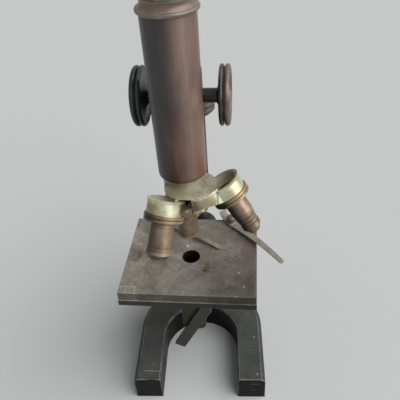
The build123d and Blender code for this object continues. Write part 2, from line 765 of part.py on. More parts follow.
with BuildPart() as cover_screws:
    with BuildSketch(Plane.XZ.offset(-housing_back_y)):
        with Locations((0, pinion_z)):
            with Locations(*cover_screw_places):
                Circle(cover_screw_radius)
    extrude(amount=-cover_thickness)
    with BuildSketch(Plane.XZ.offset(-housing_back_y - cover_thickness)):
        with Locations((0, pinion_z)):
            with Locations(*cover_screw_places):
                Circle(cover_screw_head_radius)
    extrude(amount=-cover_screw_head_height)

# Micrometer head above the column, on the screw whose point bears on the column
with BuildPart() as micrometer_head:
    with BuildSketch(upright(column_y)):
        with BuildLine():
            top = micrometer_z + micrometer_height
            mid = micrometer_z + micrometer_height / 2
            Polyline((micrometer_screw_radius, micrometer_z),
                     (micrometer_radius - micrometer_bevel, micrometer_z),
                     (micrometer_radius, micrometer_z + micrometer_bevel),
                     (micrometer_radius, mid - micrometer_groove),
                     (micrometer_radius - micrometer_groove, mid),
                     (micrometer_radius, mid + micrometer_groove),
                     (micrometer_radius, top - micrometer_bevel), (micrometer_radius - micrometer_bevel, top),
                     (micrometer_boss_radius + micrometer_bevel, top),
                     (micrometer_boss_radius, top + micrometer_boss_height),
                     (micrometer_screw_radius, top + micrometer_boss_height), close=True)
        make_face()
    revolve(axis=vertical(column_y))

with BuildPart() as micrometer_screw:
    with Locations((0, column_y, column_top_z + running_gap)):
        Cylinder(micrometer_screw_radius,
                 micrometer_z + micrometer_height + micrometer_boss_height - column_top_z - running_gap,
                 align=(Align.CENTER, Align.CENTER, Align.MIN))

# Pinion cut on its shaft
tooth_half_pitch = (tooth_pitch / 2 - gear_backlash) / 2
tooth_half_root = tooth_half_pitch + tooth_root_flare * gear_module
tooth_half_tip = tooth_half_pitch - tooth_tip_taper * gear_module
pinion_tooth_tip = pitch_radius + pinion_addendum * gear_module
pinion_tooth_root = pinion_root_radius - gear_module / 2
knob_face_x = knob_outer_x - knob_dish_depth
with BuildPart() as pinion_shaft:
    with BuildSketch(Plane(origin=(0, pinion_y, pinion_z), x_dir=(0, 1, 0), z_dir=(1, 0, 0))):
        Circle(pinion_root_radius)
        with PolarLocations(0, pinion_teeth, start_angle=180):
            Polygon((pinion_tooth_root, -tooth_half_pitch), (pitch_radius, -tooth_half_pitch),
                    (pinion_tooth_tip, -tooth_half_tip), (pinion_tooth_tip, tooth_half_tip),
                    (pitch_radius, tooth_half_pitch), (pinion_tooth_root, tooth_half_pitch), align=None)
    extrude(amount=pinion_width / 2, both=True)
    with BuildSketch(Plane.YZ):
        with Locations((pinion_y, pinion_z)):
            Circle(shaft_radius)
    extrude(amount=knob_face_x, both=True)
    with BuildSketch(Plane.YZ.offset(knob_face_x - knob_screw_depth)):
        with Locations((pinion_y, pinion_z)):
            Circle(knob_screw_radius)
    extrude(amount=knob_screw_depth, mode=Mode.SUBTRACT)
    with BuildSketch(Plane.YZ.offset(-knob_face_x)):
        with Locations((pinion_y, pinion_z)):
            Circle(knob_screw_radius)
    extrude(amount=knob_screw_depth, mode=Mode.SUBTRACT)

# Coarse knobs: bell neck, two rounded rims with a groove between them, dished outer face
knob_section = Plane(origin=(0, pinion_y, pinion_z), x_dir=(1, 0, 0), z_dir=(0, -1, 0))
pinion_axis = Axis((0, pinion_y, pinion_z), (1, 0, 0))
groove_end_x = knob_outer_x - knob_outer_rim
groove_x = groove_end_x - knob_groove_width
knob_inner_x = groove_x - knob_inner_rim
knob_rim_foot = knob_radius - knob_rim_height
groove_radius = knob_radius - knob_groove_depth
corner_part = (1 - math.sqrt(1 / 2)) / 2
outer_corner = knob_outer_rim * corner_part
inner_corner = knob_inner_rim * corner_part
with BuildPart() as knob_right:
    with BuildSketch(knob_section):
        with BuildLine():
            neck_x = housing_half_width + free_gap
            bell_x = knob_inner_x - knob_bell
            Polyline((neck_x, shaft_radius), (neck_x, knob_neck_radius), (bell_x, knob_neck_radius))
            ThreePointArc((bell_x, knob_neck_radius),
                          (knob_inner_x - knob_bell / 3, (2 * knob_neck_radius + knob_rim_foot) / 3),
                          (knob_inner_x, knob_rim_foot))
            inner_top_x = knob_inner_x + knob_inner_rim / 2
            ThreePointArc((knob_inner_x, knob_rim_foot),
                          (knob_inner_x + inner_corner, knob_radius - inner_corner),
                          (inner_top_x, knob_radius))
            ThreePointArc((inner_top_x, knob_radius),
                          (groove_x - inner_corner, knob_radius - inner_corner), (groove_x, groove_radius))
            Line((groove_x, groove_radius), (groove_end_x, groove_radius))
            outer_top_x = knob_outer_x - knob_outer_rim / 2
            ThreePointArc((groove_end_x, groove_radius),
                          (groove_end_x + outer_corner, knob_radius - outer_corner),
                          (outer_top_x, knob_radius))
            ThreePointArc((outer_top_x, knob_radius),
                          (knob_outer_x - outer_corner, knob_radius - outer_corner),
                          (knob_outer_x, knob_rim_foot))
            Polyline((knob_outer_x, knob_rim_foot), (knob_face_x, knob_rim_foot - knob_dish_depth),
                     (knob_face_x, shaft_radius), (neck_x, shaft_radius))
        make_face()
    revolve(axis=pinion_axis)

with BuildPart() as knob_left:
    add(knob_right.part.mirror(Plane.YZ))

with BuildPart() as knob_screws:
    with BuildSketch(Plane.YZ.offset(knob_face_x)):
        with Locations((pinion_y, pinion_z)):
            Circle(knob_screw_head_radius)
    extrude(amount=knob_screw_head_height)
    fillet(knob_screws.faces().sort_by(Axis.X)[-1].edges(), knob_screw_round)
    with BuildSketch(Plane.YZ.offset(knob_face_x - knob_screw_depth)):
        with Locations((pinion_y, pinion_z)):
            Circle(knob_screw_radius)
    extrude(amount=knob_screw_depth)
    mirror(about=Plane.YZ)

# Body tube
tube_section = upright(0)
with BuildPart() as body_tube:
    with BuildSketch(tube_section):
        with Locations((tube_bore_radius, tube_z)):
            Rectangle(tube_wall, tube_length, align=(Align.MIN, Align.MIN))
        fillet(vertices().group_by(Axis.Y)[0].sort_by(Axis.X)[-1], tube_lip)
    revolve(axis=Axis.Z)

# Slide bar soldered to the back of the tube, with the rack let into it
slide_bottom_z = tube_z + slide_bottom_gap
rack_seat_y = rack_root_y - rack_base
with BuildPart() as slide_bar:
    with BuildSketch(Plane.XY.offset(slide_bottom_z)):
        with BuildLine():
            Polyline((-slide_narrow / 2, tube_bore_radius - tube_wall), (-slide_narrow / 2, housing_front_y),
                     (-slide_wide / 2, slide_back_y), (slide_wide / 2, slide_back_y),
                     (slide_narrow / 2, housing_front_y),
                     (slide_narrow / 2, tube_bore_radius - tube_wall), close=True)
        make_face()
        Circle(tube_radius, mode=Mode.SUBTRACT)
        with Locations((0, rack_seat_y)):
            Rectangle(rack_width, slide_back_y, align=(Align.CENTER, Align.MIN), mode=Mode.SUBTRACT)
    extrude(amount=slide_length)

# Rack with straight teeth, in mesh with the pinion
rack_bottom_z = slide_bottom_z + rack_bottom_gap
rack_top_z = rack_bottom_z + rack_length
rack_screw_places = (rack_bottom_z + rack_pad / 2, rack_top_z - rack_pad / 2)
first_tooth = math.ceil((rack_bottom_z + rack_pad - pinion_z) / tooth_pitch - 0.5)
last_tooth = math.floor((rack_top_z - rack_pad - pinion_z) / tooth_pitch - 0.5)
with BuildPart() as rack:
    with BuildSketch(Plane.YZ):
        with Locations((rack_seat_y, rack_bottom_z)):
            Rectangle(rack_base, rack_length, align=(Align.MIN, Align.MIN))
        for tooth in range(first_tooth, last_tooth + 1):
            tooth_z = pinion_z + (tooth + 0.5) * tooth_pitch
            Polygon((rack_root_y, tooth_z - tooth_half_root), (pitch_line_y, tooth_z - tooth_half_pitch),
                    (rack_tip_y, tooth_z - tooth_half_tip), (rack_tip_y, tooth_z + tooth_half_tip),
                    (pitch_line_y, tooth_z + tooth_half_pitch), (rack_root_y, tooth_z + tooth_half_root),
                    align=None)
    extrude(amount=rack_width / 2, both=True)
    with BuildSketch(Plane.XZ.offset(-rack_root_y)):
        with Locations(*[(0, z) for z in rack_screw_places]):
            Circle(rack_screw_head_radius)
    extrude(amount=rack_screw_head_height, mode=Mode.SUBTRACT)
    with BuildSketch(Plane.XZ.offset(-rack_root_y)):
        with Locations(*[(0, z) for z in rack_screw_places]):
            Circle(rack_screw_radius)
    extrude(amount=rack_base, mode=Mode.SUBTRACT)

with BuildPart() as rack_screws:
    with BuildSketch(Plane.XZ.offset(-rack_root_y)):
        with Locations(*[(0, z) for z in rack_screw_places]):
            Circle(rack_screw_head_radius)
    extrude(amount=rack_screw_head_height)
    with BuildSketch(Plane.XZ.offset(-rack_root_y)):
        with Locations(*[(0, z) for z in rack_screw_places]):
            Circle(rack_screw_radius)
    extrude(amount=rack_base)

# Collar at the top of the tube: bead, concave neck and spigot
with BuildPart() as tube_collar:
    with BuildSketch(tube_section):
        with BuildLine():
            bead_top = tube_top_z + collar_bead_height
            Polyline((draw_radius + slide_gap, tube_top_z - collar_spigot_depth),
                     (tube_bore_radius, tube_top_z - collar_spigot_depth), (tube_bore_radius, tube_top_z),
                     (tube_radius + collar_bead_step, tube_top_z))
            ThreePointArc((tube_radius + collar_bead_step, tube_top_z),
                          (collar_bead_radius, tube_top_z + collar_bead_height / 2),
                          (tube_radius + collar_bead_step, bead_top))
            Line((tube_radius + collar_bead_step, bead_top), (tube_radius, bead_top + collar_bead_step))
            ThreePointArc((tube_radius, bead_top + collar_bead_step),
                          (collar_neck_radius - collar_cove, (bead_top + tube_top_z + collar_height) / 2),
                          (collar_neck_radius, tube_top_z + collar_height))
            Polyline((collar_neck_radius, tube_top_z + collar_height),
                     (draw_radius + slide_gap, tube_top_z + collar_height),
                     (draw_radius + slide_gap, tube_top_z - collar_spigot_depth))
        make_face()
    revolve(axis=Axis.Z)

# Draw tube with a rolled rim
draw_top_z = tube_top_z + collar_height + draw_above_collar
draw_bore_radius = draw_radius - draw_wall
with BuildPart() as draw_tube:
    with BuildSketch(tube_section):
        with Locations((draw_bore_radius, draw_top_z - draw_length)):
            Rectangle(draw_wall, draw_length, align=(Align.MIN, Align.MIN))
        with Locations((draw_bore_radius, draw_top_z)):
            Rectangle(draw_rim_radius - draw_bore_radius, draw_rim_height, align=(Align.MIN, Align.MAX))
        fillet(vertices().group_by(Axis.X)[-1], draw_rim_height / 3)
    revolve(axis=Axis.Z)

# Eyepiece: tube, cap, two lenses and the field stop
eyepiece_radius = draw_bore_radius - running_gap
eyepiece_bore_radius = eyepiece_radius - eyepiece_wall
eyepiece_bottom_z = draw_top_z - eyepiece_length
cap_top_z = draw_top_z + cap_height
eye_lens_z = cap_top_z - cap_face_thickness - eye_lens_thickness
with BuildPart() as eyepiece_tube:
    with BuildSketch(Plane.XY.offset(eyepiece_bottom_z)):
        Circle(eyepiece_radius)
        Circle(eyepiece_bore_radius, mode=Mode.SUBTRACT)
    extrude(amount=eyepiece_length + eyepiece_seat)

with BuildPart() as eyepiece_cap:
    with BuildSketch(tube_section):
        with BuildLine():
            rim_z = draw_top_z + cap_gap
            rim_top_z = rim_z + cap_rim_height
            Polyline((eyepiece_radius, rim_z), (cap_radius - cap_bevel, rim_z),
                     (cap_radius, rim_z + cap_bevel),
                     (cap_radius, rim_top_z - cap_bevel), (cap_radius - cap_bevel, rim_top_z),
                     (cap_top_radius + cap_cove, rim_top_z))
            ThreePointArc((cap_top_radius + cap_cove, rim_top_z),
                          (cap_top_radius + cap_cove / 8, (rim_top_z + cap_top_z) / 2),
                          (cap_top_radius, cap_top_z - cap_edge))
            Polyline((cap_top_radius, cap_top_z - cap_edge), (cap_top_radius - cap_edge, cap_top_z),
                     (eye_opening_radius + eye_cup_width, cap_top_z),
                     (eye_opening_radius, cap_top_z - cap_face_thickness),
                     (eye_lens_radius, cap_top_z - cap_face_thickness),
                     (eye_lens_radius, draw_top_z + eyepiece_seat),
                     (eyepiece_radius, draw_top_z + eyepiece_seat), (eyepiece_radius, rim_z))
        make_face()
    revolve(axis=Axis.Z)

eye_lens_curve = (eye_lens_radius ** 2 + lens_sag ** 2) / (2 * lens_sag)
with BuildPart() as eye_lens:
    with BuildSketch(tube_section):
        with BuildLine():
            curve = CenterArc((0, eye_lens_z + eye_lens_curve), eye_lens_curve, 270,
                              math.degrees(math.asin(eye_lens_radius / eye_lens_curve)))
            Polyline(curve @ 1, (eye_lens_radius, eye_lens_z + eye_lens_thickness),
                     (0, eye_lens_z + eye_lens_thickness), curve @ 0)
        make_face()
    revolve(axis=Axis.Z)

field_lens_curve = (eyepiece_bore_radius ** 2 + lens_sag ** 2) / (2 * lens_sag)
with BuildPart() as field_lens:
    with BuildSketch(tube_section):
        with BuildLine():
            curve = CenterArc((0, eyepiece_bottom_z + field_lens_curve), field_lens_curve, 270,
                              math.degrees(math.asin(eyepiece_bore_radius / field_lens_curve)))
            Polyline(curve @ 1, (eyepiece_bore_radius, eyepiece_bottom_z + field_lens_thickness),
                     (0, eyepiece_bottom_z + field_lens_thickness), curve @ 0)
        make_face()
    revolve(axis=Axis.Z)

with BuildPart() as field_stop:
    with BuildSketch(Plane.XY.offset(eyepiece_bottom_z + field_stop_height)):
        Circle(eyepiece_bore_radius)
        Circle(field_stop_radius, mode=Mode.SUBTRACT)
    extrude(amount=field_stop_thickness)

# Directions of the nosepiece: the pivot axis and the three objective axes, all pointing down
nose_apex = Vector(0, 0, stage_height + nose_apex_above_stage)
pivot_dir = Vector(0, 0, -1).rotate(Axis.X, -nose_tilt).rotate(Axis.Z, nose_turn)
pivot_axis = Axis(nose_apex, pivot_dir)
turn_axis = Axis((0, 0, 0), pivot_dir)
objective_dirs = {"high": Vector(0, 0, -1),
                  "low": Vector(0, 0, -1).rotate(turn_axis, -nose_step),
                  "medium": Vector(0, 0, -1).rotate(turn_axis, nose_step)}
tilt_cos = math.cos(math.radians(nose_tilt))
tilt_tan = math.tan(math.radians(nose_tilt))
arm_reach = shell_distance * tilt_tan
shell_joint = nose_apex + pivot_dir * (shell_distance / tilt_cos)
front_side = (nose_apex - shell_joint).cross(Vector(0, 0, -1)).normalized()
hub_plane = Plane(origin=shell_joint, x_dir=front_side, z_dir=pivot_dir * -1)


def shell_plane(direction, rise):
    """Plane square to an objective axis, its origin on the pivot, local x towards the cup."""
    outward = (nose_apex + direction * shell_distance - shell_joint).normalized()
    return Plane(origin=shell_joint - direction * rise, x_dir=outward, z_dir=direction * -1)


def cone_section(rise):
    """Plane through the pivot, raised above the joint: local x is radius, local y runs up the pivot."""
    return Plane(origin=shell_joint - pivot_dir * rise, x_dir=hub_plane.x_dir,
                 z_dir=pivot_dir.cross(hub_plane.x_dir))


def turned(direction, profile):
    """Solid turned about an objective axis from (radius, distance from the apex) corners."""
    side = direction.cross(hub_plane.x_dir).normalized()
    section = Plane(origin=nose_apex, x_dir=side, z_dir=side.cross(direction))
    with BuildPart() as solid:
        with BuildSketch(section):
            Polygon(*profile, align=None)
        revolve(axis=Axis(nose_apex, direction))
    return solid


# Revolving shell: three round cups on a straight-walled hub body, notched beside the low cup
cone_rise = shell_height / tilt_cos
hub_space = 2 * hub_reach
cup_top = shell_distance - shell_height
cup_profile = [(0, shell_distance), (cup_radius, shell_distance), (cup_radius, cup_top + cup_lip_height),
               (cup_radius + cup_lip, cup_top), (0, cup_top)]
with BuildPart() as nose_shell:
    with BuildSketch(hub_plane.offset(hub_floor_rise)):
        Rectangle(2 * hub_reach, 2 * hub_half_width)
        Rectangle(2 * hub_half_width, hub_reach, align=(Align.CENTER, Align.MAX))
    extrude(amount=hub_space)
    with BuildSketch(hub_plane.offset(hub_floor_rise)):
        with Locations((notch_place, hub_half_width)):
            Rectangle(hub_reach, 4 * shell_wall, align=(Align.MIN, Align.CENTER))
        with Locations((-seam_place, hub_half_width)):
            Rectangle(seam_width, 2 * seam_width)
    extrude(amount=hub_space, mode=Mode.SUBTRACT)
    with BuildSketch(cone_section(cone_rise)):
        Polygon((0, 0), (hub_space, hub_space * tilt_tan), (hub_space, 2 * hub_space),
                (0, 2 * hub_space), align=None)
    revolve(axis=pivot_axis, mode=Mode.SUBTRACT)
    for direction in objective_dirs.values():
        with BuildSketch(shell_plane(direction, 0)):
            Circle(hub_space)
        extrude(amount=-hub_space, mode=Mode.SUBTRACT)
    for direction in objective_dirs.values():
        add(turned(direction, cup_profile).part)
    for direction in objective_dirs.values():
        with BuildSketch(shell_plane(direction, shell_floor)):
            with Locations((arm_reach, 0)):
                Circle(cup_radius - shell_wall)
        extrude(amount=shell_height, mode=Mode.SUBTRACT)
        with BuildSketch(shell_plane(direction, 0)):
            with Locations((arm_reach, 0)):
                Circle(thread_radius)
        extrude(amount=shell_floor, mode=Mode.SUBTRACT)
    with BuildSketch(hub_plane.offset(hub_floor_rise + shell_floor)):
        Rectangle(2 * hub_reach, 2 * (hub_half_width - shell_wall))
        Rectangle(2 * (hub_half_width - shell_wall), hub_reach, align=(Align.CENTER, Align.MAX))
    extrude(amount=hub_space, mode=Mode.SUBTRACT)
    with BuildSketch(hub_plane.offset(hub_floor_rise)):
        Circle(hub_radius)
    extrude(amount=cone_rise - hub_floor_rise)
    with BuildSketch(hub_plane):
        Circle(pivot_screw_radius + running_gap)
    extrude(amount=hub_space, mode=Mode.SUBTRACT)

# Fixed plate of the nosepiece: spigot and neck under the tube, flat plate that thins out over the shell
plate_top_z = tube_z - neck_height
plate_middle = (plate_back - plate_front) / 2
screw_seat = hub_plane.offset(hub_floor_rise - free_gap)
with BuildPart() as nose_plate:
    with BuildSketch(hub_plane):
        with Locations((0, -plate_middle)):
            Ellipse(plate_half_width, plate_middle + plate_front)
    extrude(amount=hub_space)
    with BuildSketch(Plane.XY.offset(plate_top_z)):
        Circle(2 * hub_space)
    extrude(amount=hub_space, mode=Mode.SUBTRACT)
    with BuildSketch(Plane.XY.offset(tube_z)):
        Circle(neck_radius)
    extrude(amount=-neck_height - shell_height)
    with BuildSketch(cone_section(cone_rise + free_gap / tilt_cos)):
        Polygon((0, 0), (2 * hub_space, 2 * hub_space * tilt_tan), (2 * hub_space, -hub_space),
                (0, -hub_space), align=None)
    revolve(axis=pivot_axis, mode=Mode.SUBTRACT)
    with BuildSketch(Plane.XY.offset(tube_z)):
        Circle(tube_bore_radius)
    extrude(amount=neck_spigot_depth)
    with Locations((0, 0, tube_z)):
        Cylinder(light_path_radius, hub_space, mode=Mode.SUBTRACT)
    with BuildSketch(screw_seat):
        Circle(pivot_screw_radius)
    extrude(amount=pivot_screw_length, mode=Mode.SUBTRACT)

# Pivot screw: head under the hub, shank through it into the fixed plate
with BuildPart() as pivot_screw:
    with BuildSketch(screw_seat):
        Circle(pivot_head_radius)
    extrude(amount=-pivot_head_height)
    fillet(pivot_screw.faces().sort_by(pivot_axis)[-1].edges(), pivot_head_round)
    with BuildSketch(screw_seat):
        Circle(pivot_screw_radius)
    extrude(amount=pivot_screw_length)


# Objectives: outer outline of each barrel below the flange, and of the front cell at its end
flange_end = shell_distance + flange_height
flange_mid = shell_distance + flange_height / 2
flange_profile = [(thread_radius, shell_distance - shell_floor), (thread_radius, shell_distance),
                  (flange_radius - flange_edge, shell_distance),
                  (flange_radius, shell_distance + flange_edge),
                  (flange_radius, flange_mid - flange_groove), (flange_radius - flange_groove, flange_mid),
                  (flange_radius, flange_mid + flange_groove), (flange_radius, flange_end - flange_edge),
                  (flange_radius - flange_edge, flange_end)]
high_groove_end = high_step - high_band
barrel_profiles = {
    "low": [(low_radius, flange_end), (low_end_radius, low_shoulder)],
    "medium": [(medium_radius, flange_end), (medium_radius, medium_taper_start),
               (medium_end_radius, medium_shoulder - medium_ring),
               (medium_ring_radius, medium_shoulder - medium_ring),
               (medium_ring_radius, medium_shoulder)],
    "high": [(high_radius, flange_end), (high_radius, high_groove_end - 3 * high_groove),
             (high_radius - high_groove, high_groove_end - 2 * high_groove),
             (high_radius - high_groove, high_groove_end - high_groove), (high_radius, high_groove_end),
             (high_radius, high_step - high_bevel), (high_radius - high_bevel, high_step),
             (high_nose_radius, high_step), (high_nose_radius, high_shoulder)],
}
cell_profiles = {
    "low": [(low_ring_radius, low_shoulder), (low_ring_radius, low_shoulder + low_ring),
            (low_end_radius - low_bevel, low_tip)],
    "medium": [(medium_end_radius, medium_shoulder), (medium_end_radius - medium_bevel, medium_tip)],
    "high": [(high_nose_radius + high_ring, high_shoulder),
             (high_nose_radius + high_ring, high_tip - high_bevel),
             (high_nose_radius + high_ring - high_bevel, high_tip)],
}
shoulders = {"low": low_shoulder, "medium": medium_shoulder, "high": high_shoulder}
tips = {"low": low_tip, "medium": medium_tip, "high": high_tip}
barrels = {}
cells = {}
front_lenses = {}
for power, direction in objective_dirs.items():
    shoulder = shoulders[power]
    tip_distance = tips[power]
    lens_end = tip_distance - lens_lip
    barrels[power] = turned(direction, flange_profile + barrel_profiles[power] + [
        (cell_thread_radius, shoulder), (cell_thread_radius, shoulder - cell_thread_length),
        (objective_bore_radius, shoulder - cell_thread_length),
        (objective_bore_radius, shell_distance - shell_floor)])
    cells[power] = turned(direction, [
        (lens_radius, shoulder - cell_thread_length), (cell_thread_radius, shoulder - cell_thread_length),
        (cell_thread_radius, shoulder)] + cell_profiles[power] + [
        (lens_radius - lens_lip, tip_distance), (lens_radius - lens_lip, lens_end),
        (lens_radius, lens_end)])
    front_lenses[power] = turned(direction, [
        (0, lens_end - lens_thickness), (lens_radius, lens_end - lens_thickness),
        (lens_radius, lens_end), (0, lens_end)])

pieces = {
    "foot": foot, "pillar": pillar, "pillar_screw": pillar_screw, "limb_bracket": limb_bracket,
    "inclination_axle": inclination_axle, "inclination_nuts": inclination_nuts, "column": column,
    "stage_base": stage_base, "stage_top": stage_top, "stage_screws": stage_screws,
    "bracket_screws": bracket_screws, "substage_sleeve": substage_sleeve, "diaphragm": diaphragm,
    "mirror_hanger": mirror_hanger, "hanger_screws": hanger_screws, "mirror_bar": mirror_bar,
    "mirror_bar_screw": mirror_bar_screw,
    "clip_post_left": clip_posts["left"], "clip_post_right": clip_posts["right"],
    "clip_strip_left": clip_strips["left"], "clip_strip_right": clip_strips["right"],
    "arm": arm, "pinion_cover": pinion_cover, "cover_screws": cover_screws,
    "micrometer_head": micrometer_head, "micrometer_screw": micrometer_screw,
    "pinion_shaft": pinion_shaft, "knob_right": knob_right, "knob_left": knob_left,
    "knob_screws": knob_screws, "body_tube": body_tube, "slide_bar": slide_bar, "rack": rack,
    "rack_screws": rack_screws, "tube_collar": tube_collar, "draw_tube": draw_tube,
    "eyepiece_tube": eyepiece_tube, "eyepiece_cap": eyepiece_cap, "eye_lens": eye_lens,
    "field_lens": field_lens, "field_stop": field_stop, "nose_shell": nose_shell, "nose_plate": nose_plate,
    "pivot_screw": pivot_screw,
}
for power in objective_dirs:
    pieces[f"objective_{power}_barrel"] = barrels[power]
    pieces[f"objective_{power}_cell"] = cells[power]
    pieces[f"objective_{power}_lens"] = front_lenses[power]
os.makedirs("parts", exist_ok=True)
for name, piece in pieces.items():
    piece.part.label = name
    export_step(piece.part, f"parts/{name}.step")
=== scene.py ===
import math

import bpy
from mathutils import Matrix, Vector

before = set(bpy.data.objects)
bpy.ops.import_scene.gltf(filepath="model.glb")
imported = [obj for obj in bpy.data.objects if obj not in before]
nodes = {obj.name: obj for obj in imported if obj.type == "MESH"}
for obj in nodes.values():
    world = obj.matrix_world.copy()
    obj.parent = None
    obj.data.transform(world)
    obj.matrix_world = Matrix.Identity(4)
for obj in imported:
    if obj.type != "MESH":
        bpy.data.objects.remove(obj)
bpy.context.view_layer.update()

# Lengths are in metres and colours in linear light
ORIGIN = Vector((0, 0, 0))
ACROSS, DEEP = Vector((1, 0, 0)), Vector((0, 1, 0))
UP, DOWN = Vector((0, 0, 1)), Vector((0, 0, -1))

# The nosepiece, as in the part: the point where the axes of pivot and objectives meet, the tilt of
# the pivot, its turn towards +X and the step from one objective to the next
APEX = Vector((0, 0, 0.2334))
TILT, TURN, STEP = math.radians(23), math.radians(30), math.radians(90)
SHELL_DISTANCE = 0.059
PIVOT = Vector((
    math.sin(TILT) * math.sin(TURN),
    -math.sin(TILT) * math.cos(TURN),
    -math.cos(TILT),
))
AXES = {
    "high": DOWN,
    "low": Matrix.Rotation(-STEP, 3, PIVOT) @ DOWN,
    "medium": Matrix.Rotation(STEP, 3, PIVOT) @ DOWN,
}
HUB = APEX + PIVOT * (SHELL_DISTANCE / math.cos(TILT))
HUB_ACROSS = (-PIVOT).cross((-PIVOT).cross(DOWN).normalized())

# Other places on the part: a point on the knobs' axis, one on the axis of the mirror bar's screw,
# and the height of the stage's upper face
KNOB = Vector((0, 0.026, 0.2375))
BAR_SCREW = Vector((0, 0, 0.0516))
STAGE_TOP = 0.115

# Where marks and painted light and shade lie or fade in, from and to: heights on the tube and its
# collar, distances across and from the axis on a knob, from the axes of the other pieces, and from
# the middle of the hub
TUBE_LIP, TUBE_FOOT, TUBE_RUST = (0.1995, 0.1965), (0.204, 0.232), (0.262, 0.202)
COVE, UNDER_BEAD = (0.3034, 0.3068), (0.2985, 0.3003)
OUTER_RIM, INNER_RIM, RIM_RADIUS = (0.0272, 0.0290), (0.0235, 0.0255), (0.0135, 0.0175)
SCREW_CLEAR, PLATE_NECK = (0.0062, 0.0072), (0.0132, 0.0146)
HUB_INSIDE_WIDTH, HUB_INSIDE_RADIUS = (0.0075, 0.0073), (0.0122, 0.0118)
CUP_INSIDE, APERTURE = (0.01075, 0.0106), (0.0070, 0.00685)


class Paint:
    """One procedural material: short calls that add nodes and return their output sockets."""

    def __init__(self, name, metallic, specular=0.5):
        self.material = bpy.data.materials.new(name)
        self.material.use_nodes = True
        self.tree = self.material.node_tree
        self.shader = self.tree.nodes["Principled BSDF"]
        self.shader.inputs["Metallic"].default_value = metallic
        self.shader.inputs["Specular IOR Level"].default_value = specular
        self.place = self.add("TexCoord").outputs["Object"]

    def add(self, kind):
        return self.tree.nodes.new("ShaderNode" + kind)

    def put(self, socket, value):
        """Link an output to a socket, or set the socket to a constant."""
        if isinstance(value, bpy.types.NodeSocket):
            self.tree.links.new(value, socket)
        elif socket.type == "RGBA":
            socket.default_value = (*value, 1)
        else:
            socket.default_value = value

    def moved(self, scale=(1, 1, 1), offset=(0, 0, 0), turn=(0, 0, 0), vector=None):
        """The place, or another vector, scaled, turned and shifted."""
        node = self.add("Mapping")
        self.put(node.inputs["Vector"], vector or self.place)
        node.inputs["Scale"].default_value = scale
        node.inputs["Location"].default_value = offset
        node.inputs["Rotation"].default_value = turn
        return node.outputs[0]

    def noise(self, scale, detail=4, rough=0.55, distortion=0.0, vector=None):
        node = self.add("TexNoise")
        self.put(node.inputs["Vector"], vector or self.place)
        node.inputs["Scale"].default_value = scale
        node.inputs["Detail"].default_value = detail
        node.inputs["Roughness"].default_value = rough
        node.inputs["Distortion"].default_value = distortion
        return node.outputs["Fac"]

    def cells(self, scale, vector=None):
        """Distance from the nearest of many scattered points."""
        node = self.add("TexVoronoi")
        self.put(node.inputs["Vector"], vector or self.place)
        node.inputs["Scale"].default_value = scale
        return node.outputs["Distance"]

    def math(self, operation, a, b=0.0):
        node = self.add("Math")
        node.operation = operation
        self.put(node.inputs[0], a)
        self.put(node.inputs[1], b)
        return node.outputs[0]

    def vector_math(self, operation, a, b=(0, 0, 0), output="Vector"):
        """Vector arithmetic; a length or a dot product is read from the output Value."""
        node = self.add("VectorMath")
        node.operation = operation
        self.put(node.inputs[0], a)
        self.put(node.inputs[1], b)
        return node.outputs[output]

    def both(self, *values):
        """Product of masks."""
        total = values[0]
        for value in values[1:]:
            total = self.math("MULTIPLY", total, value)
        return total

    def dot(self, direction, vector=None):
        """How far the place, or another vector, reaches along a direction."""
        return self.vector_math("DOT_PRODUCT", vector or self.place, tuple(direction), "Value")

    def from_line(self, point, direction):
        """Distance from the line through a point along a unit direction."""
        away = self.vector_math("SUBTRACT", self.place, tuple(point))
        square = self.vector_math("CROSS_PRODUCT", away, tuple(direction))
        return self.vector_math("LENGTH", square, output="Value")

    def face_normal(self):
        """Normal of the bare face, without bevel or bump."""
        return self.add("NewGeometry").outputs["True Normal"]

    def span(self, value, low, high, to_low=0.0, to_high=1.0):
        """A smooth step, to_low at low and to_high at high; low may be the greater."""
        node = self.add("MapRange")
        node.interpolation_type = "SMOOTHSTEP"
        self.put(node.inputs["Value"], value)
        node.inputs["From Min"].default_value = low
        node.inputs["From Max"].default_value = high
        node.inputs["To Min"].default_value = to_low
        node.inputs["To Max"].default_value = to_high
        return node.outputs["Result"]

    def band(self, value, low, high, soft):
        """1 between low and high, fading over soft on both sides."""
        rise = self.span(value, low - soft, low + soft)
        return self.both(rise, self.span(value, high + soft, high - soft))

    def near(self, centre, radii, ragged=0.35, soft=0.35):
        """1 inside a ragged patch round a point, 0 outside it."""
        scale = tuple(1 / r for r in radii)
        offset = tuple(-c / r for c, r in zip(centre, radii))
        far = self.vector_math("LENGTH", self.moved(scale, offset), output="Value")
        fringe = self.math("MULTIPLY", self.noise(240, 5, 0.65), 2 * ragged)
        return self.span(self.math("ADD", far, fringe), 1 + ragged, 1 + ragged - soft)

    def ramp(self, value, *stops):
        """Colour by value, from pairs of position and colour."""
        node = self.add("ValToRGB")
        self.put(node.inputs["Fac"], value)
        steps = node.color_ramp
        while len(steps.elements) < len(stops):
            steps.elements.new(0.5)
        for element, (place, colour) in zip(steps.elements, stops):
            element.position = place
            element.color = (*colour, 1)
        return node.outputs["Color"]

    def mix(self, share, a, b, how="MIX"):
        node = self.add("Mix")
        node.data_type = "RGBA"
        node.blend_type = how
        node.clamp_factor = True
        self.put(node.inputs[0], share)
        self.put(node.inputs[6], a)
        self.put(node.inputs[7], b)
        return node.outputs[2]

    def tint(self, colour, mask, share, over):
        """Another colour laid over a colour, by a share where the mask is 1."""
        return self.mix(self.math("MULTIPLY", mask, share), colour, over)

    def shade(self, colour, value, dark, light):
        """Colour times a grey between dark and light, where value runs from 0 to 1."""
        grey = self.ramp(value, (0, (dark,) * 3), (1, (light,) * 3))
        return self.mix(1.0, colour, grey, "MULTIPLY")

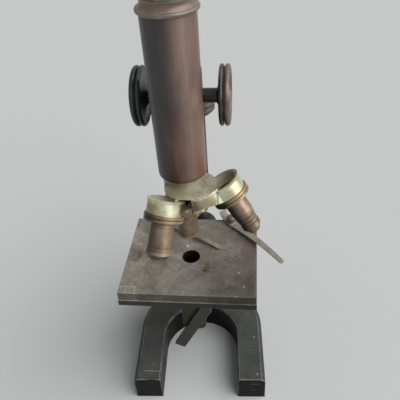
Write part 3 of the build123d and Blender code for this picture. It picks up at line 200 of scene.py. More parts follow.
    def edges(self, radius, sharp=(0.02, 0.25)):
        """1 near a sharp convex or concave edge, 0 on open faces."""
        bevel = self.add("Bevel")
        bevel.samples = 8
        bevel.inputs["Radius"].default_value = radius
        agree = self.vector_math("DOT_PRODUCT", bevel.outputs[0], self.face_normal(), "Value")
        return self.span(self.math("SUBTRACT", 1.0, agree), *sharp)

    def bump(self, height, distance, strength):
        node = self.add("Bump")
        node.inputs["Strength"].default_value = strength
        node.inputs["Distance"].default_value = distance
        self.put(node.inputs["Height"], height)
        return node.outputs[0]

    def finish(self, colour, roughness, normal=None):
        self.put(self.shader.inputs["Base Color"], colour)
        self.put(self.shader.inputs["Roughness"], roughness)
        if normal is not None:
            self.put(self.shader.inputs["Normal"], normal)
        return self.material


def scratches(p, scale, amount, turn):
    """Thin stray lines: a stretched noise cut to its crests."""
    fine = p.noise(scale, 2, 0.4, vector=p.moved((1, 14, 14), turn=turn))
    return p.span(fine, 0.72 - amount, 0.76 - amount)


def turned_lines(p, along, scale):
    """Fine lines of a lathe: noise that changes only with the distance along an axis."""
    return p.noise(1.0, 2, 0.5, vector=p.moved((scale,) * 3, vector=along))


def pits(p, scale):
    """Small scattered spots."""
    return p.span(p.cells(scale), 0.16, 0.08)


def worn_edges(p, radius, scale, least, most=0.9, low=0.35):
    """Edges rubbed unevenly, between the least and the most share of wear."""
    return p.both(p.edges(radius), p.span(p.noise(scale, 3), low, 0.6, least, most))


def stains(p, colour, rows):
    """Ragged patches laid over a colour: centre, radii, share and colour of each."""
    for centre, radii, share, over in rows:
        colour = p.tint(colour, p.near(centre, radii, 0.4, 0.7), share, over)
    return colour


def tube_metal():
    """Brown lacquer with painted light and shade: nearly black on the side away from the light,
    tan and copper on the lit side, with a painted highlight.
    """
    p = Paint("tube_lacquer", 0.25)
    height = p.dot(UP)
    cloud = p.noise(38, 5, 0.6, 0.6, p.moved((1, 1, 0.45)))
    wander = p.math("MULTIPLY", p.math("SUBTRACT", cloud, 0.5), 0.005)
    # painted light and shade: from nearly black on the side away from the light to tan and copper
    # on the lit side
    lit_side = p.math("ADD", p.dot((0.97, -0.25, 0)), wander)
    colour = p.ramp(
        p.span(lit_side, -0.004, 0.016),
        (0.00, (0.042, 0.036, 0.036)),
        (0.25, (0.052, 0.042, 0.041)),
        (0.45, (0.088, 0.064, 0.058)),
        (0.70, (0.158, 0.109, 0.092)),
        (0.92, (0.222, 0.152, 0.123)),
        (1.00, (0.188, 0.116, 0.089)),
    )
    colour = p.shade(colour, p.span(cloud, 0.3, 0.7), 0.78, 1.18)
    colour = p.shade(colour, p.span(height, *TUBE_FOOT), 0.85, 1.0)
    rust = p.both(
        p.span(p.noise(60, 4, 0.6, 0.6, p.moved((1, 1, 0.5))), 0.38, 0.62),
        p.span(height, *TUBE_RUST),
        p.span(lit_side, -0.006, 0.008),
    )
    colour = p.tint(colour, rust, 0.80, (0.245, 0.098, 0.060))
    # painted highlight: a tan patch on the lit front of the tube
    tube_highlight = p.near((0.0124, -0.0100, 0.2525), (0.0035, 0.0035, 0.0085), 0.5, 0.7)
    colour = p.tint(colour, tube_highlight, 0.55, (0.260, 0.185, 0.105))
    streak = p.noise(420, 3, 0.5, vector=p.moved((1, 1, 0.02)))
    colour = p.shade(colour, p.span(streak, 0.32, 0.7), 0.92, 1.07)
    lines = scratches(p, 160, 0.02, (0, 0.5, 0.3))
    colour = p.tint(colour, lines, 0.60, (0.300, 0.220, 0.150))
    # painted shadow: a dark band round the lower lip of the tube
    lip_shade = p.span(height, *TUBE_LIP)
    colour = p.tint(colour, lip_shade, 0.75, (0.045, 0.032, 0.025))
    rough = p.span(cloud, 0.3, 0.75, 0.30, 0.46)
    return p.finish(colour, rough, p.bump(p.noise(900, 3), 0.00008, 0.35))


def aged_brass(name, colours, stain, metallic, rough, scale, edge=None, extra=None):
    """Aged brass or bronze: cloudy colour, fine stains, worn edges and a little pitting."""
    p = Paint(name, metallic)
    dark, middle, light = colours
    cloud = p.noise(scale, 6, 0.62, 0.8)
    colour = p.ramp(cloud, (0.28, dark), (0.5, middle), (0.74, light))
    spots = p.span(p.noise(scale * 2.3, 5, 0.65, 0.5), 0.5, 0.68)
    colour = p.tint(colour, spots, 0.75, stain)
    colour = p.tint(colour, pits(p, scale * 16), 0.35, tuple(0.45 * c for c in dark))
    if extra is not None:
        colour = extra(p, colour)
    if edge is not None:
        colour = p.mix(worn_edges(p, 0.0006, 190, 0.25), colour, edge)
    roughness = p.span(cloud, 0.3, 0.72, rough - 0.08, rough + 0.1)
    return p.finish(colour, roughness, p.bump(p.noise(scale * 14, 4), 0.0001, 0.3))


def rim_highlight(p, colour):
    """Painted highlight on the rims of the right knob, which face the light: copper on the outer
    rim, fainter on the inner one.
    """
    across = p.dot(ACROSS)
    # painted highlight in copper on the outer rim
    outer = p.both(
        p.span(across, *OUTER_RIM),
        p.span(p.from_line(KNOB, ACROSS), *RIM_RADIUS),
        p.span(p.noise(95, 4, 0.6), 0.30, 0.50, 0.45, 1.0),
    )
    colour = p.mix(outer, colour, (0.172, 0.121, 0.095))
    # fainter painted highlight on the inner rim
    inner = p.both(
        p.span(across, *INNER_RIM),
        p.span(p.noise(120, 4, 0.6), 0.5, 0.66, 0.0, 0.55),
    )
    return p.mix(inner, colour, (0.150, 0.120, 0.105))


def bead_and_cove(p, colour):
    """Red-brown hollow above the bead and a painted shadow line under it."""
    height = p.dot(UP)
    cove = p.band(height, *COVE, 0.0005)
    colour = p.tint(colour, cove, 0.60, (0.175, 0.108, 0.082))
    # painted shadow: a near-black line under the bead
    under = p.band(height, *UNDER_BEAD, 0.0003)
    return p.tint(colour, under, 0.85, (0.022, 0.018, 0.015))


def seam_dirt(p, colour):
    """Brown dirt along the edges of the nosepiece, and fine turned lines round its pivot."""
    lines = turned_lines(p, p.dot(PIVOT), 1400)
    colour = p.shade(colour, p.span(lines, 0.35, 0.65), 0.86, 1.08)
    deep = p.both(p.edges(0.0009, (0.05, 0.3)), p.span(p.noise(140, 4), 0.45, 0.6))
    return p.tint(colour, deep, 0.35, (0.120, 0.085, 0.040))


def bar_edge(p, colour):
    """Bright worn edges of the mirror bar, none round its screw."""
    away = p.span(p.from_line(BAR_SCREW, DEEP), *SCREW_CLEAR)
    worn = p.both(worn_edges(p, 0.0006, 190, 0.25), away)
    return p.mix(worn, colour, (0.500, 0.460, 0.400))


def plate_brown(p, colour):
    """Dull brown stain on the front of the fixed plate and in the corner round its neck."""
    stain = p.near((-0.0010, -0.0195, 0.1914), (0.0120, 0.0070, 0.0080), 0.4, 0.8)
    colour = p.tint(colour, stain, 0.60, (0.270, 0.225, 0.130))
    neck = p.band(p.from_line(ORIGIN, UP), *PLATE_NECK, 0.0004)
    corner = p.both(neck, p.span(p.noise(160, 4), 0.35, 0.6))
    return p.tint(colour, corner, 0.30, (0.200, 0.165, 0.100))


# Patches on the outside of the shell, most of them painted reflections, one a painted highlight
# and one a dark seam: centre, radii, share and colour
SHELL_PAINTED_LIGHT_AND_MARKS = (
    # golden tarnish on the left of the left cup, also a painted darker reflection there
    ((-0.0165, -0.0345, 0.1900), (0.0100, 0.0095, 0.0090), 0.90, (0.270, 0.210, 0.105)),
    # painted dark reflections: three dark patches at the right end of the left cup and by the
    # notch
    ((0.0105, -0.0275, 0.1840), (0.0120, 0.0110, 0.0115), 0.97, (0.050, 0.033, 0.017)),
    ((0.0035, -0.0310, 0.1870), (0.0045, 0.0065, 0.0095), 0.90, (0.058, 0.037, 0.022)),
    ((0.0085, -0.0285, 0.1835), (0.0060, 0.0070, 0.0110), 0.95, (0.050, 0.040, 0.021)),
    # painted highlight: a pale patch on the left cup
    ((-0.0045, -0.0355, 0.1930), (0.0035, 0.0060, 0.0100), 0.70, (0.930, 0.920, 0.760)),
    # painted shade that dims the reflection on the flat wall of the hub
    ((0.0180, -0.0225, 0.1855), (0.0105, 0.0090, 0.0085), 0.92, (0.195, 0.168, 0.100)),
    ((0.0340, -0.0160, 0.1910), (0.0110, 0.0090, 0.0090), 0.45, (0.420, 0.405, 0.255)),
    # a dark seam line where the hub meets the right cup
    ((0.0243, -0.0190, 0.1880), (0.0007, 0.0100, 0.0100), 0.85, (0.080, 0.064, 0.036)),
)
# Painted shade in brown, in the same columns, over the notch between two cups and the nearby ends
# of their bands; it also covers the inside
NOTCH_SHADE = (
    ((0.0050, -0.0290, 0.1825), (0.0080, 0.0100, 0.0100), 0.85, (0.125, 0.083, 0.057)),
)
SHELL_METALLIC, INSIDE_METALLIC = 0.75, 0.15


def shell_brass():
    """Bright turned brass outside, with painted reflections, a painted highlight and painted shade
    in patches; the insides of the cups and of the hub are dull olive brown, lightened as a painted
    reflection.
    """
    p = Paint("shell_brass", SHELL_METALLIC)
    cloud = p.noise(60, 6, 0.62, 0.8)
    colour = p.ramp(
        cloud,
        (0.28, (0.480, 0.460, 0.270)),
        (0.50, (0.640, 0.635, 0.435)),
        (0.74, (0.750, 0.750, 0.560)),
    )
    tarnish = p.span(p.noise(170, 6, 0.7, 0.8), 0.50, 0.66)
    colour = p.tint(colour, tarnish, 0.55, (0.400, 0.410, 0.200))
    # painted reflections, a painted highlight and a dark seam, then brown dirt along the edges
    colour = seam_dirt(p, stains(p, colour, SHELL_PAINTED_LIGHT_AND_MARKS))
    colour = p.tint(colour, pits(p, 900), 0.30, (0.180, 0.150, 0.080))
    # bright worn edges, which also serve as painted highlights on the rims
    colour = p.mix(worn_edges(p, 0.0006, 190, 0.3), colour, (0.800, 0.780, 0.560))
    from_middle = p.math("ABSOLUTE", p.dot(HUB_ACROSS, p.moved(offset=-HUB)))
    inside = p.both(
        p.span(from_middle, *HUB_INSIDE_WIDTH),
        p.span(p.from_line(HUB, PIVOT), *HUB_INSIDE_RADIUS),
    )
    for axis in AXES.values():
        cup = p.span(p.from_line(APEX, axis), *CUP_INSIDE)
        inside = p.math("MAXIMUM", inside, cup)
    # dull olive brown of the insides, made light as a painted reflection in these shaded hollows
    dull = p.ramp(
        cloud,
        (0.30, (0.420, 0.390, 0.265)),
        (0.55, (0.540, 0.510, 0.355)),
        (0.75, (0.640, 0.615, 0.445)),
    )
    rings = turned_lines(p, p.dot(PIVOT), 1100)
    dull = p.shade(dull, p.span(rings, 0.3, 0.7), 0.75, 1.15)
    # painted shade over the notch
    colour = stains(p, p.mix(inside, colour, dull), NOTCH_SHADE)
    metallic = p.span(inside, 0.0, 1.0, SHELL_METALLIC, INSIDE_METALLIC)
    p.put(p.shader.inputs["Metallic"], metallic)
    clean = p.span(cloud, 0.3, 0.72, 0.26, 0.40)
    rough = p.math("ADD", clean, p.math("MULTIPLY", inside, 0.30))
    return p.finish(colour, rough, p.bump(p.noise(840, 4), 0.0001, 0.25))


# Marks on the upper face of the stage: centre, radii, share and colour
STAGE_MARKS = (
    ((-0.0440, 0.0010), (0.0110, 0.0090), 0.35, (0.195, 0.135, 0.120)),
    ((0.0450, 0.0060), (0.0080, 0.0200), 0.60, (0.125, 0.078, 0.072)),
    ((0.0120, 0.0240), (0.0130, 0.0090), 0.70, (0.205, 0.200, 0.140)),
    ((-0.0405, -0.0005), (0.0026, 0.0054), 0.75, (0.130, 0.080, 0.072)),
    ((-0.0432, -0.0055), (0.0030, 0.0024), 0.60, (0.150, 0.092, 0.080)),
    ((-0.0110, 0.0095), (0.0090, 0.0060), 0.40, (0.235, 0.172, 0.132)),
    ((0.0115, 0.0010), (0.0050, 0.0085), 0.45, (0.215, 0.160, 0.115)),
    ((0.0132, -0.0100), (0.0026, 0.0058), 0.85, (0.105, 0.078, 0.050)),
    ((0.0118, -0.0142), (0.0024, 0.0018), 0.95, (0.050, 0.040, 0.030)),
    ((-0.0200, -0.0260), (0.0160, 0.0070), 0.35, (0.250, 0.222, 0.190)),
    ((-0.0039, 0.0115), (0.0013, 0.0013), 0.95, (0.660, 0.600, 0.520)),
    ((-0.0420, 0.0125), (0.0015, 0.0011), 0.95, (0.560, 0.520, 0.410)),
    ((0.0372, -0.0158), (0.0013, 0.0011), 0.85, (0.340, 0.300, 0.260)),
    ((0.0412, -0.0291), (0.0010, 0.0012), 0.80, (0.280, 0.250, 0.210)),
)
# The radius of those marks in height
MARK_HEIGHT = 0.02
# The rubbed front left corner of that face: its edges across and in depth, and its pale border
CORNER_X, CORNER_Y, BORDER = -0.0374, -0.0318, 0.0006


def corner(p, x, y, soft=0.0002):
    """1 to the left of x and in front of y."""
    left = p.span(p.dot(ACROSS), x + soft, x - soft)
    return p.both(left, p.span(p.dot(DEEP), y + soft, y - soft))


def stage_metal(name, side, marked):
    """Brown bronze plate with painted light and shade, lighter at the left and back, darker at the
    right, the front and on its sides; with stains, scratches and rubbed edges.
    """
    p = Paint(name, 0.2)
    cloud = p.noise(26, 7, 0.66, 1.0)
    colour = p.ramp(
        cloud,
        (0.34, (0.150, 0.131, 0.110)),
        (0.47, (0.226, 0.203, 0.172)),
        (0.57, (0.268, 0.243, 0.207)),
        (0.70, (0.325, 0.298, 0.256)),
    )
    purple = p.span(p.noise(19, 4, 0.6, 0.4, p.moved(offset=(0.3, 0.1, 0))), 0.53, 0.66)
    colour = p.tint(colour, purple, 0.35, (0.185, 0.138, 0.120))
    green = p.span(p.noise(23, 4, 0.6, 0.4, p.moved(offset=(-0.2, 0.4, 0))), 0.54, 0.68)
    colour = p.tint(colour, green, 0.40, (0.216, 0.215, 0.168))
    grain = p.noise(480, 5, 0.72)
    colour = p.tint(colour, p.span(grain, 0.42, 0.66), 0.62, (0.130, 0.115, 0.098))
    smoke = p.noise(58, 6, 0.7, 0.6, p.moved(offset=(0.5, 0.3, 0)))
    colour = p.shade(colour, p.span(smoke, 0.34, 0.64), 0.70, 1.22)
    # painted light and shade across the stage: lighter at the left, darker at the right
    painted_light_across = p.ramp(
        p.span(p.dot(ACROSS), -0.045, 0.045),
        (0.00, (1.42, 1.39, 1.34)),
        (0.45, (1.08, 1.09, 1.10)),
        (1.00, (0.54, 0.53, 0.52)),
    )
    colour = p.mix(1.0, colour, painted_light_across, "MULTIPLY")
    # painted light and shade in depth: darker at the front, lighter at the back
    colour = p.shade(colour, p.span(p.dot(DEEP), -0.035, 0.025), 0.78, 1.36)
    if marked:
        for (x, y), (wide, deep), share, mark in STAGE_MARKS:
            spot = p.near((x, y, STAGE_TOP), (wide, deep, MARK_HEIGHT))
            colour = p.tint(colour, spot, share, mark)
        rubbed = corner(p, CORNER_X, CORNER_Y)
        colour = p.tint(colour, rubbed, 0.25, (0.330, 0.300, 0.255))
        inner = corner(p, CORNER_X - BORDER, CORNER_Y - BORDER)
        border = p.math("SUBTRACT", rubbed, inner)
        border = p.both(border, p.span(p.noise(150, 4), 0.3, 0.5))
        colour = p.tint(colour, border, 0.75, (0.600, 0.550, 0.460))
    pale = p.span(p.cells(75, p.moved((1, 1, 0.2))), 0.085, 0.05)
    few = p.span(p.noise(33, 2), 0.55, 0.6)
    colour = p.tint(colour, p.both(pale, few), 0.70, (0.420, 0.370, 0.280))
    light_lines = scratches(p, 90, 0.02, (0, 0, 0.6))
    colour = p.tint(colour, light_lines, 0.70, (0.300, 0.270, 0.230))
    dark_lines = scratches(p, 120, 0.015, (0, 0, 2.1))
    colour = p.tint(colour, dark_lines, 0.70, (0.110, 0.100, 0.090))
    worn = worn_edges(p, 0.0007, 160, 0.3, 1.0, 0.3)
    colour = p.mix(worn, colour, (0.400, 0.360, 0.300))
    # painted shade: the sides of the plate darker than its upper face, by the factor given for
    # each plate
    painted_top_light = p.span(p.dot(UP, p.face_normal()), 0.2, 0.6)
    colour = p.shade(colour, painted_top_light, side, 1.0)
    # painted shade: the inside of the stage's hole near black
    hole_shade = p.span(p.from_line(ORIGIN, UP), *APERTURE)
    colour = p.mix(hole_shade, colour, (0.004, 0.004, 0.004))
    rough = p.span(cloud, 0.3, 0.75, 0.62, 0.46)
    return p.finish(colour, rough, p.bump(grain, 0.00012, 0.4))


# Spots rubbed through the black of the foot: centre and radii
FOOT_MARKS = (
    ((0.0493, -0.0066, 0.025), (0.0012, 0.0012, 0.004)),
    ((0.0520, -0.0418, 0.024), (0.0010, 0.0016, 0.006)),
    ((-0.0340, -0.0440, 0.025), (0.0090, 0.0006, 0.004)),
)


def black_iron():
    """Black lacquer on iron with painted light and shade, tops lighter and sides nearly black,
    rubbed through to metal along the arrises and chipped, more on the tops.
    """
    p = Paint("black_iron", 0.0, 0.12)
    cloud = p.noise(42, 6, 0.65, 0.5)
    colour = p.ramp(
        cloud,
        (0.30, (0.044, 0.046, 0.044)),
        (0.55, (0.068, 0.071, 0.067)),
        (0.80, (0.100, 0.102, 0.094)),
    )
    olive = p.span(p.noise(30, 5, 0.6, 1.0, p.moved(offset=(0.2, 0.7, 0.1))), 0.5, 0.68)
    colour = p.tint(colour, olive, 0.50, (0.086, 0.084, 0.068))
    violet = p.span(p.noise(24, 4, 0.6, 0.8, p.moved(offset=(0.9, 0.2, 0.5))), 0.54, 0.68)
    colour = p.tint(colour, violet, 0.45, (0.063, 0.061, 0.072))
    # painted light and shade: faces that look up keep the colour, the sides are darkened to 6
    # percent
    painted_top_light = p.span(p.dot(UP, p.face_normal()), 0.35, 0.9)
    colour = p.shade(colour, painted_top_light, 0.06, 1.0)
    worn = p.both(
        p.edges(0.0014, (0.004, 0.09)),
        p.span(p.noise(85, 5, 0.7), 0.38, 0.56),
        p.span(painted_top_light, 0.0, 0.5, 0.45, 1.0),
    )
    colour = p.mix(worn, colour, (0.300, 0.280, 0.250))
    chips = p.both(
        p.span(p.cells(210), 0.12, 0.07),
        p.span(p.noise(48, 3), 0.56, 0.64),
        p.span(painted_top_light, 0.0, 0.5, 0.35, 1.0),
    )
    colour = p.mix(chips, colour, (0.250, 0.220, 0.170))
    for centre, radii in FOOT_MARKS:
        colour = p.tint(colour, p.near(centre, radii), 0.80, (0.220, 0.210, 0.190))
    lines = scratches(p, 70, 0.03, (0, 0, 0.2))
    colour = p.tint(colour, lines, 0.70, (0.140, 0.135, 0.120))
    rough = p.span(cloud, 0.3, 0.75, 0.36, 0.56)
    return p.finish(colour, rough, p.bump(p.noise(330, 5, 0.65), 0.00035, 0.4))


def steel(name, dark, light, metallic, rough):
    """Dull steel with a little rust and a fine upright grain."""
    p = Paint(name, metallic)
    cloud = p.noise(120, 5, 0.6, 0.4)
    colour = p.ramp(cloud, (0.3, dark), (0.7, light))
    rust = p.span(p.noise(210, 5, 0.7), 0.6, 0.72)
    colour = p.tint(colour, rust, 0.60, (0.100, 0.055, 0.030))
    roughness = p.span(cloud, 0.3, 0.7, rough - 0.08, rough + 0.12)
    grain = p.noise(1500, 2, vector=p.moved((1, 1, 0.2)))
    return p.finish(colour, roughness, p.bump(grain, 0.00005, 0.4))


# Painted shade on the left of each objective and painted light on its right: from and to across
# its axis, darkest and lightest factor
LEFT_SHADE = {
    "low": (-0.0075, 0.0045, 0.22, 1.18),
    "medium": (-0.0046, 0.0052, 0.02, 1.36),
    "high": (-0.0075, 0.0040, 0.50, 1.18),
}

# Rings on the objectives, all and each: from and to along the axis, share and colour; on the
# flange, painted shade in the grooves and painted highlights in gold on the rings
FLANGE_HIGHLIGHT, LINE, GROOVE = (0.540, 0.400, 0.215), (0.060, 0.042, 0.030), (0.045, 0.031, 0.022)
DULL_FLANGE = (0.160, 0.110, 0.076)
RINGS = {
    "all": (
        # painted shade in the flange's grooves and below it, with painted highlights in gold on
        # its rings
        (0.0588, 0.0593, 0.60, (0.080, 0.052, 0.030)),
        (0.0599, 0.0606, 0.42, FLANGE_HIGHLIGHT),
        (0.0610, 0.0616, 0.65, (0.070, 0.046, 0.028)),
        (0.0621, 0.0628, 0.42, FLANGE_HIGHLIGHT),
        (0.0633, 0.0652, 0.65, (0.080, 0.054, 0.036)),
    ),
    "low": (
        (0.0594, 0.0632, 0.32, DULL_FLANGE),
        (0.0835, 0.0853, 0.70, (0.400, 0.310, 0.200)),
        # painted shade on the downward-facing cone at the tip
        (0.0855, 0.0885, 0.75, (0.050, 0.036, 0.026)),
        (0.0800, 0.0806, 0.60, (0.080, 0.055, 0.040)),
    ),
    "medium": (
        (0.0594, 0.0632, 0.55, DULL_FLANGE),
        (0.0790, 0.0798, 0.90, GROOVE),
        (0.0805, 0.0809, 0.70, LINE),
        (0.0815, 0.0819, 0.60, LINE),
        (0.0826, 0.0834, 0.90, GROOVE),
        (0.0858, 0.0864, 0.80, LINE),
        (0.0872, 0.0877, 0.70, LINE),
        (0.0885, 0.0890, 0.70, LINE),
    ),
    "high": (
        (0.0914, 0.0936, 0.60, (0.430, 0.340, 0.220)),
        (0.0752, 0.0757, 0.80, LINE),
        (0.0716, 0.0723, 0.80, LINE),
    ),
}
# The flange of each objective, from and to along its axis
FLANGE = (0.0588, 0.0636)


def objective_brass(power):
    """Tan lacquered brass with turned lines square to the objective's own axis."""
    p = Paint(f"objective_{power}", 0.65)
    axis = AXES[power]
    along = p.math("SUBTRACT", p.dot(axis), APEX.dot(axis))
    side = (ACROSS - axis * axis.x).normalized()
    across = p.math("SUBTRACT", p.dot(side), APEX.dot(side))
    cloud = p.noise(70, 6, 0.62, 0.7)
    colour = p.ramp(
        cloud,
        (0.28, (0.160, 0.110, 0.075)),
        (0.50, (0.262, 0.190, 0.135)),
        (0.75, (0.370, 0.280, 0.198)),
    )
    stain = p.span(p.noise(150, 5, 0.65, 0.5), 0.52, 0.7)
    colour = p.tint(colour, stain, 0.50, (0.100, 0.068, 0.050))
    turned = turned_lines(p, along, 900)
    colour = p.tint(colour, p.span(turned, 0.45, 0.7), 0.40, (0.120, 0.082, 0.056))
    flange = p.band(along, *FLANGE, 0.0002)
    colour = p.tint(colour, flange, 0.60, (0.340, 0.250, 0.140))
    for low, high, share, ring in RINGS["all"] + RINGS[power]:
        colour = p.tint(colour, p.band(along, low, high, 0.00015), share, ring)
    # painted shade on the left of the objective, painted light on its right
    left, right, darkest, lightest = LEFT_SHADE[power]
    colour = p.shade(colour, p.span(across, left, right), darkest, lightest)
    colour = p.mix(worn_edges(p, 0.0004, 300, 0.3), colour, (0.500, 0.410, 0.270))
    rough = p.span(cloud, 0.3, 0.72, 0.26, 0.42)
    return p.finish(colour, rough, p.bump(turned, 0.00012, 0.5))


def lens_glass():
    """Clear glass, a little green, under thin dust."""
    p = Paint("lens_glass", 0.0)
    p.shader.inputs["Transmission Weight"].default_value = 0.9
    p.shader.inputs["IOR"].default_value = 1.52
    dust = p.span(p.noise(900, 4), 0.5, 0.8, 0.0, 0.35)
    colour = p.mix(dust, (0.72, 0.80, 0.78), (0.35, 0.36, 0.34))
    return p.finish(colour, p.span(dust, 0, 0.35, 0.03, 0.3))


# Aged brass by name: dark, middle and light colour; stain; metallic, roughness and scale of the
# clouds; colour of worn edges; further marks
BRASSES = {
    "black_knob": (
        ((0.020, 0.021, 0.023), (0.032, 0.034, 0.037), (0.056, 0.056, 0.055)),
        (0.044, 0.040, 0.038), 0.30, 0.38, 80, (0.160, 0.140, 0.120),
    ),
    # the right knob, with a painted highlight on its rims
    "knob_with_rim_highlight": (
        ((0.030, 0.025, 0.025), (0.048, 0.040, 0.039), (0.076, 0.062, 0.057)),
        (0.030, 0.026, 0.024), 0.35, 0.38, 80, (0.240, 0.180, 0.140), rim_highlight,
    ),
    "collar_brass": (
        ((0.118, 0.092, 0.075), (0.188, 0.158, 0.128), (0.262, 0.232, 0.187)),
        (0.135, 0.090, 0.071), 0.40, 0.40, 70, (0.420, 0.360, 0.280), bead_and_cove,
    ),
    "draw_brass": (
        ((0.150, 0.142, 0.130), (0.230, 0.220, 0.195), (0.310, 0.295, 0.250)),
        (0.120, 0.098, 0.070), 0.75, 0.32, 60,
    ),
    "micrometer_brass": (
        ((0.055, 0.054, 0.042), (0.095, 0.093, 0.072), (0.150, 0.144, 0.110)),
        (0.050, 0.046, 0.036), 0.45, 0.42, 90, (0.280, 0.250, 0.180),
    ),
    "screw_brass": (
        ((0.300, 0.275, 0.140), (0.510, 0.485, 0.280), (0.680, 0.665, 0.430)),
        (0.360, 0.330, 0.160), 0.90, 0.24, 60, (0.720, 0.680, 0.460), seam_dirt,
    ),
    "plate_brass": (
        ((0.270, 0.238, 0.160), (0.395, 0.370, 0.260), (0.500, 0.488, 0.370)),
        (0.300, 0.235, 0.155), 0.25, 0.42, 60, (0.620, 0.600, 0.440), plate_brown,
    ),
    "clip_metal": (
        ((0.165, 0.151, 0.117), (0.232, 0.217, 0.172), (0.300, 0.284, 0.230)),
        (0.140, 0.115, 0.084), 0.15, 0.62, 90,
    ),
    "post_brass": (
        ((0.085, 0.070, 0.050), (0.140, 0.118, 0.085), (0.205, 0.180, 0.135)),
        (0.080, 0.060, 0.042), 0.45, 0.40, 110, (0.400, 0.360, 0.280),
    ),
    "bar_metal": (
        ((0.022, 0.022, 0.018), (0.038, 0.037, 0.031), (0.060, 0.058, 0.049)),
        (0.050, 0.042, 0.032), 0.40, 0.42, 90, None, bar_edge,
    ),
    "hanger_brass": (
        ((0.023, 0.020, 0.008), (0.041, 0.036, 0.014), (0.070, 0.062, 0.025)),
        (0.016, 0.014, 0.007), 0.60, 0.42, 90, (0.340, 0.270, 0.120),
    ),
}
# Steel by name: dark and light colour, metallic and roughness
STEELS = {
    "dull_steel": ((0.140, 0.135, 0.125), (0.300, 0.290, 0.270), 0.80, 0.40),
    "dark_steel": ((0.018, 0.018, 0.017), (0.045, 0.043, 0.040), 0.50, 0.45),
}
# Stage plates by name: painted shade on the sides, as a brightness factor, and whether the upper
# face is marked
PLATES = {"stage_top_bronze": (0.33, True), "stage_base_bronze": (0.08, False)}

paints = {name: aged_brass(name, *row) for name, row in BRASSES.items()}
paints.update({name: steel(name, *row) for name, row in STEELS.items()})
paints.update({name: stage_metal(name, *row) for name, row in PLATES.items()})
paints["tube_lacquer"] = tube_metal()
paints["shell_brass"] = shell_brass()
paints["black_iron"] = black_iron()
paints["lens_glass"] = lens_glass()

# Pieces by paint, apart from the objectives; every other piece is of dull steel
PIECES = {
    "black_iron": ("foot", "pillar", "limb_bracket", "arm", "pinion_cover"),
    "dark_steel": ("column", "field_stop", "substage_sleeve", "diaphragm"),
    "tube_lacquer": ("body_tube",),
    "black_knob": ("slide_bar", "knob_left"),
    "knob_with_rim_highlight": ("knob_right",),
    "collar_brass": ("tube_collar", "eyepiece_cap"),
    "draw_brass": ("draw_tube", "eyepiece_tube"),
    "micrometer_brass": ("micrometer_head",),
    "shell_brass": ("nose_shell",),
    "plate_brass": ("nose_plate",),
    "screw_brass": ("pivot_screw",),
    "stage_top_bronze": ("stage_top",),
    "stage_base_bronze": ("stage_base",),
    "hanger_brass": ("mirror_hanger",),
    "bar_metal": ("mirror_bar", "mirror_bar_screw"),
    "clip_metal": ("clip_strip_left", "clip_strip_right"),
    "post_brass": ("clip_post_left", "clip_post_right"),
    "lens_glass": ("eye_lens", "field_lens"),
}
looks = {piece: paints[paint] for paint, pieces in PIECES.items() for piece in pieces}
for power in AXES:
    brass = objective_brass(power)
    looks[f"objective_{power}_barrel"] = brass
    looks[f"objective_{power}_cell"] = brass
    looks[f"objective_{power}_lens"] = paints["lens_glass"]
for name, thing in nodes.items():
    thing.data.materials.clear()
    thing.data.materials.append(looks.get(name, paints["dull_steel"]))

# Plain pale floor without a sheen
FLOOR_SIZE, FLOOR_ROUGHNESS = 12, 0.85
FLOOR_COLOUR = (0.600, 0.605, 0.600, 1)
floor_paint = bpy.data.materials.new("studio_floor")
floor_paint.use_nodes = True
floor_inputs = floor_paint.node_tree.nodes["Principled BSDF"].inputs
floor_inputs["Base Color"].default_value = FLOOR_COLOUR
floor_inputs["Roughness"].default_value = FLOOR_ROUGHNESS
floor_inputs["Specular IOR Level"].default_value = 0.0
bpy.ops.mesh.primitive_plane_add(size=FLOOR_SIZE, location=(0, 0, 0))
floor = bpy.context.object
floor.name = "floor"
floor.data.materials.append(floor_paint)

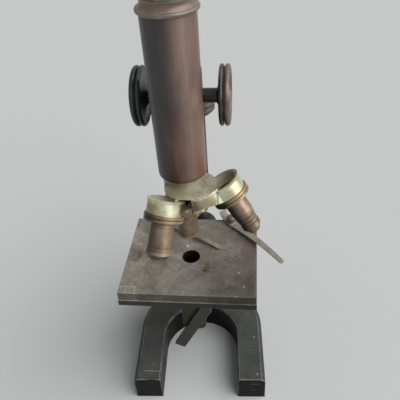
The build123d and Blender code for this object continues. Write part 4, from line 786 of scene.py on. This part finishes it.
# An even world: its light is dimmer than what shows behind the part, in reflections and in glass
WORLD_LIGHT, WORLD_SEEN = (0.215, 0.220, 0.226, 1), (0.570, 0.577, 0.575, 1)
world = bpy.data.worlds.new("studio")
bpy.context.scene.world = world
world.use_nodes = True
world_nodes, world_links = world.node_tree.nodes, world.node_tree.links
light_path = world_nodes.new("ShaderNodeLightPath")
seen = light_path.outputs["Is Camera Ray"]
for ray in ("Is Glossy Ray", "Is Transmission Ray"):
    either = world_nodes.new("ShaderNodeMath")
    either.operation = "MAXIMUM"
    world_links.new(seen, either.inputs[0])
    world_links.new(light_path.outputs[ray], either.inputs[1])
    seen = either.outputs[0]
sky = world_nodes.new("ShaderNodeMix")
sky.data_type = "RGBA"
world_links.new(seen, sky.inputs[0])
sky.inputs[6].default_value = WORLD_LIGHT
sky.inputs[7].default_value = WORLD_SEEN
world_links.new(sky.outputs[2], world_nodes["Background"].inputs["Color"])
world_nodes["Background"].inputs["Strength"].default_value = 1.0

# One broad far light, high at the right
KEY_FROM, KEY_ANGLE, KEY_STRENGTH = Vector((0.95, -0.25, 0.85)), math.radians(80), 3.5
key = bpy.data.lights.new("key", "SUN")
key.angle = KEY_ANGLE
key.energy = KEY_STRENGTH
lamp = bpy.data.objects.new("key", key)
lamp.location = KEY_FROM
lamp.rotation_euler = (-KEY_FROM).to_track_quat("-Z", "Y").to_euler()
bpy.context.scene.collection.objects.link(lamp)

# Camera at the photograph's angle; lens and sensor in millimetres
YAW, PITCH, ROLL = math.radians(7.95), math.radians(38.22), math.radians(4.21)
CAMERA_PLACE = (0.0461, -0.2584, 0.3763)
LENS, SENSOR, CLIP_START = 42.84, 36, 0.01
forward = Vector((
    -math.sin(YAW) * math.cos(PITCH),
    math.cos(YAW) * math.cos(PITCH),
    -math.sin(PITCH),
))
right = Vector((math.cos(YAW), math.sin(YAW), 0))
down = forward.cross(right)
across = math.cos(ROLL) * right + math.sin(ROLL) * down
below = -math.sin(ROLL) * right + math.cos(ROLL) * down
view = bpy.data.cameras.new("camera")
view.lens = LENS
view.sensor_width = SENSOR
view.clip_start = CLIP_START
camera = bpy.data.objects.new("camera", view)
turned = Matrix((across, -below, -forward)).transposed().to_4x4()
camera.matrix_world = Matrix.Translation(CAMERA_PLACE) @ turned
bpy.context.scene.collection.objects.link(camera)
bpy.context.scene.camera = camera
bpy.context.scene.view_settings.view_transform = "Standard"
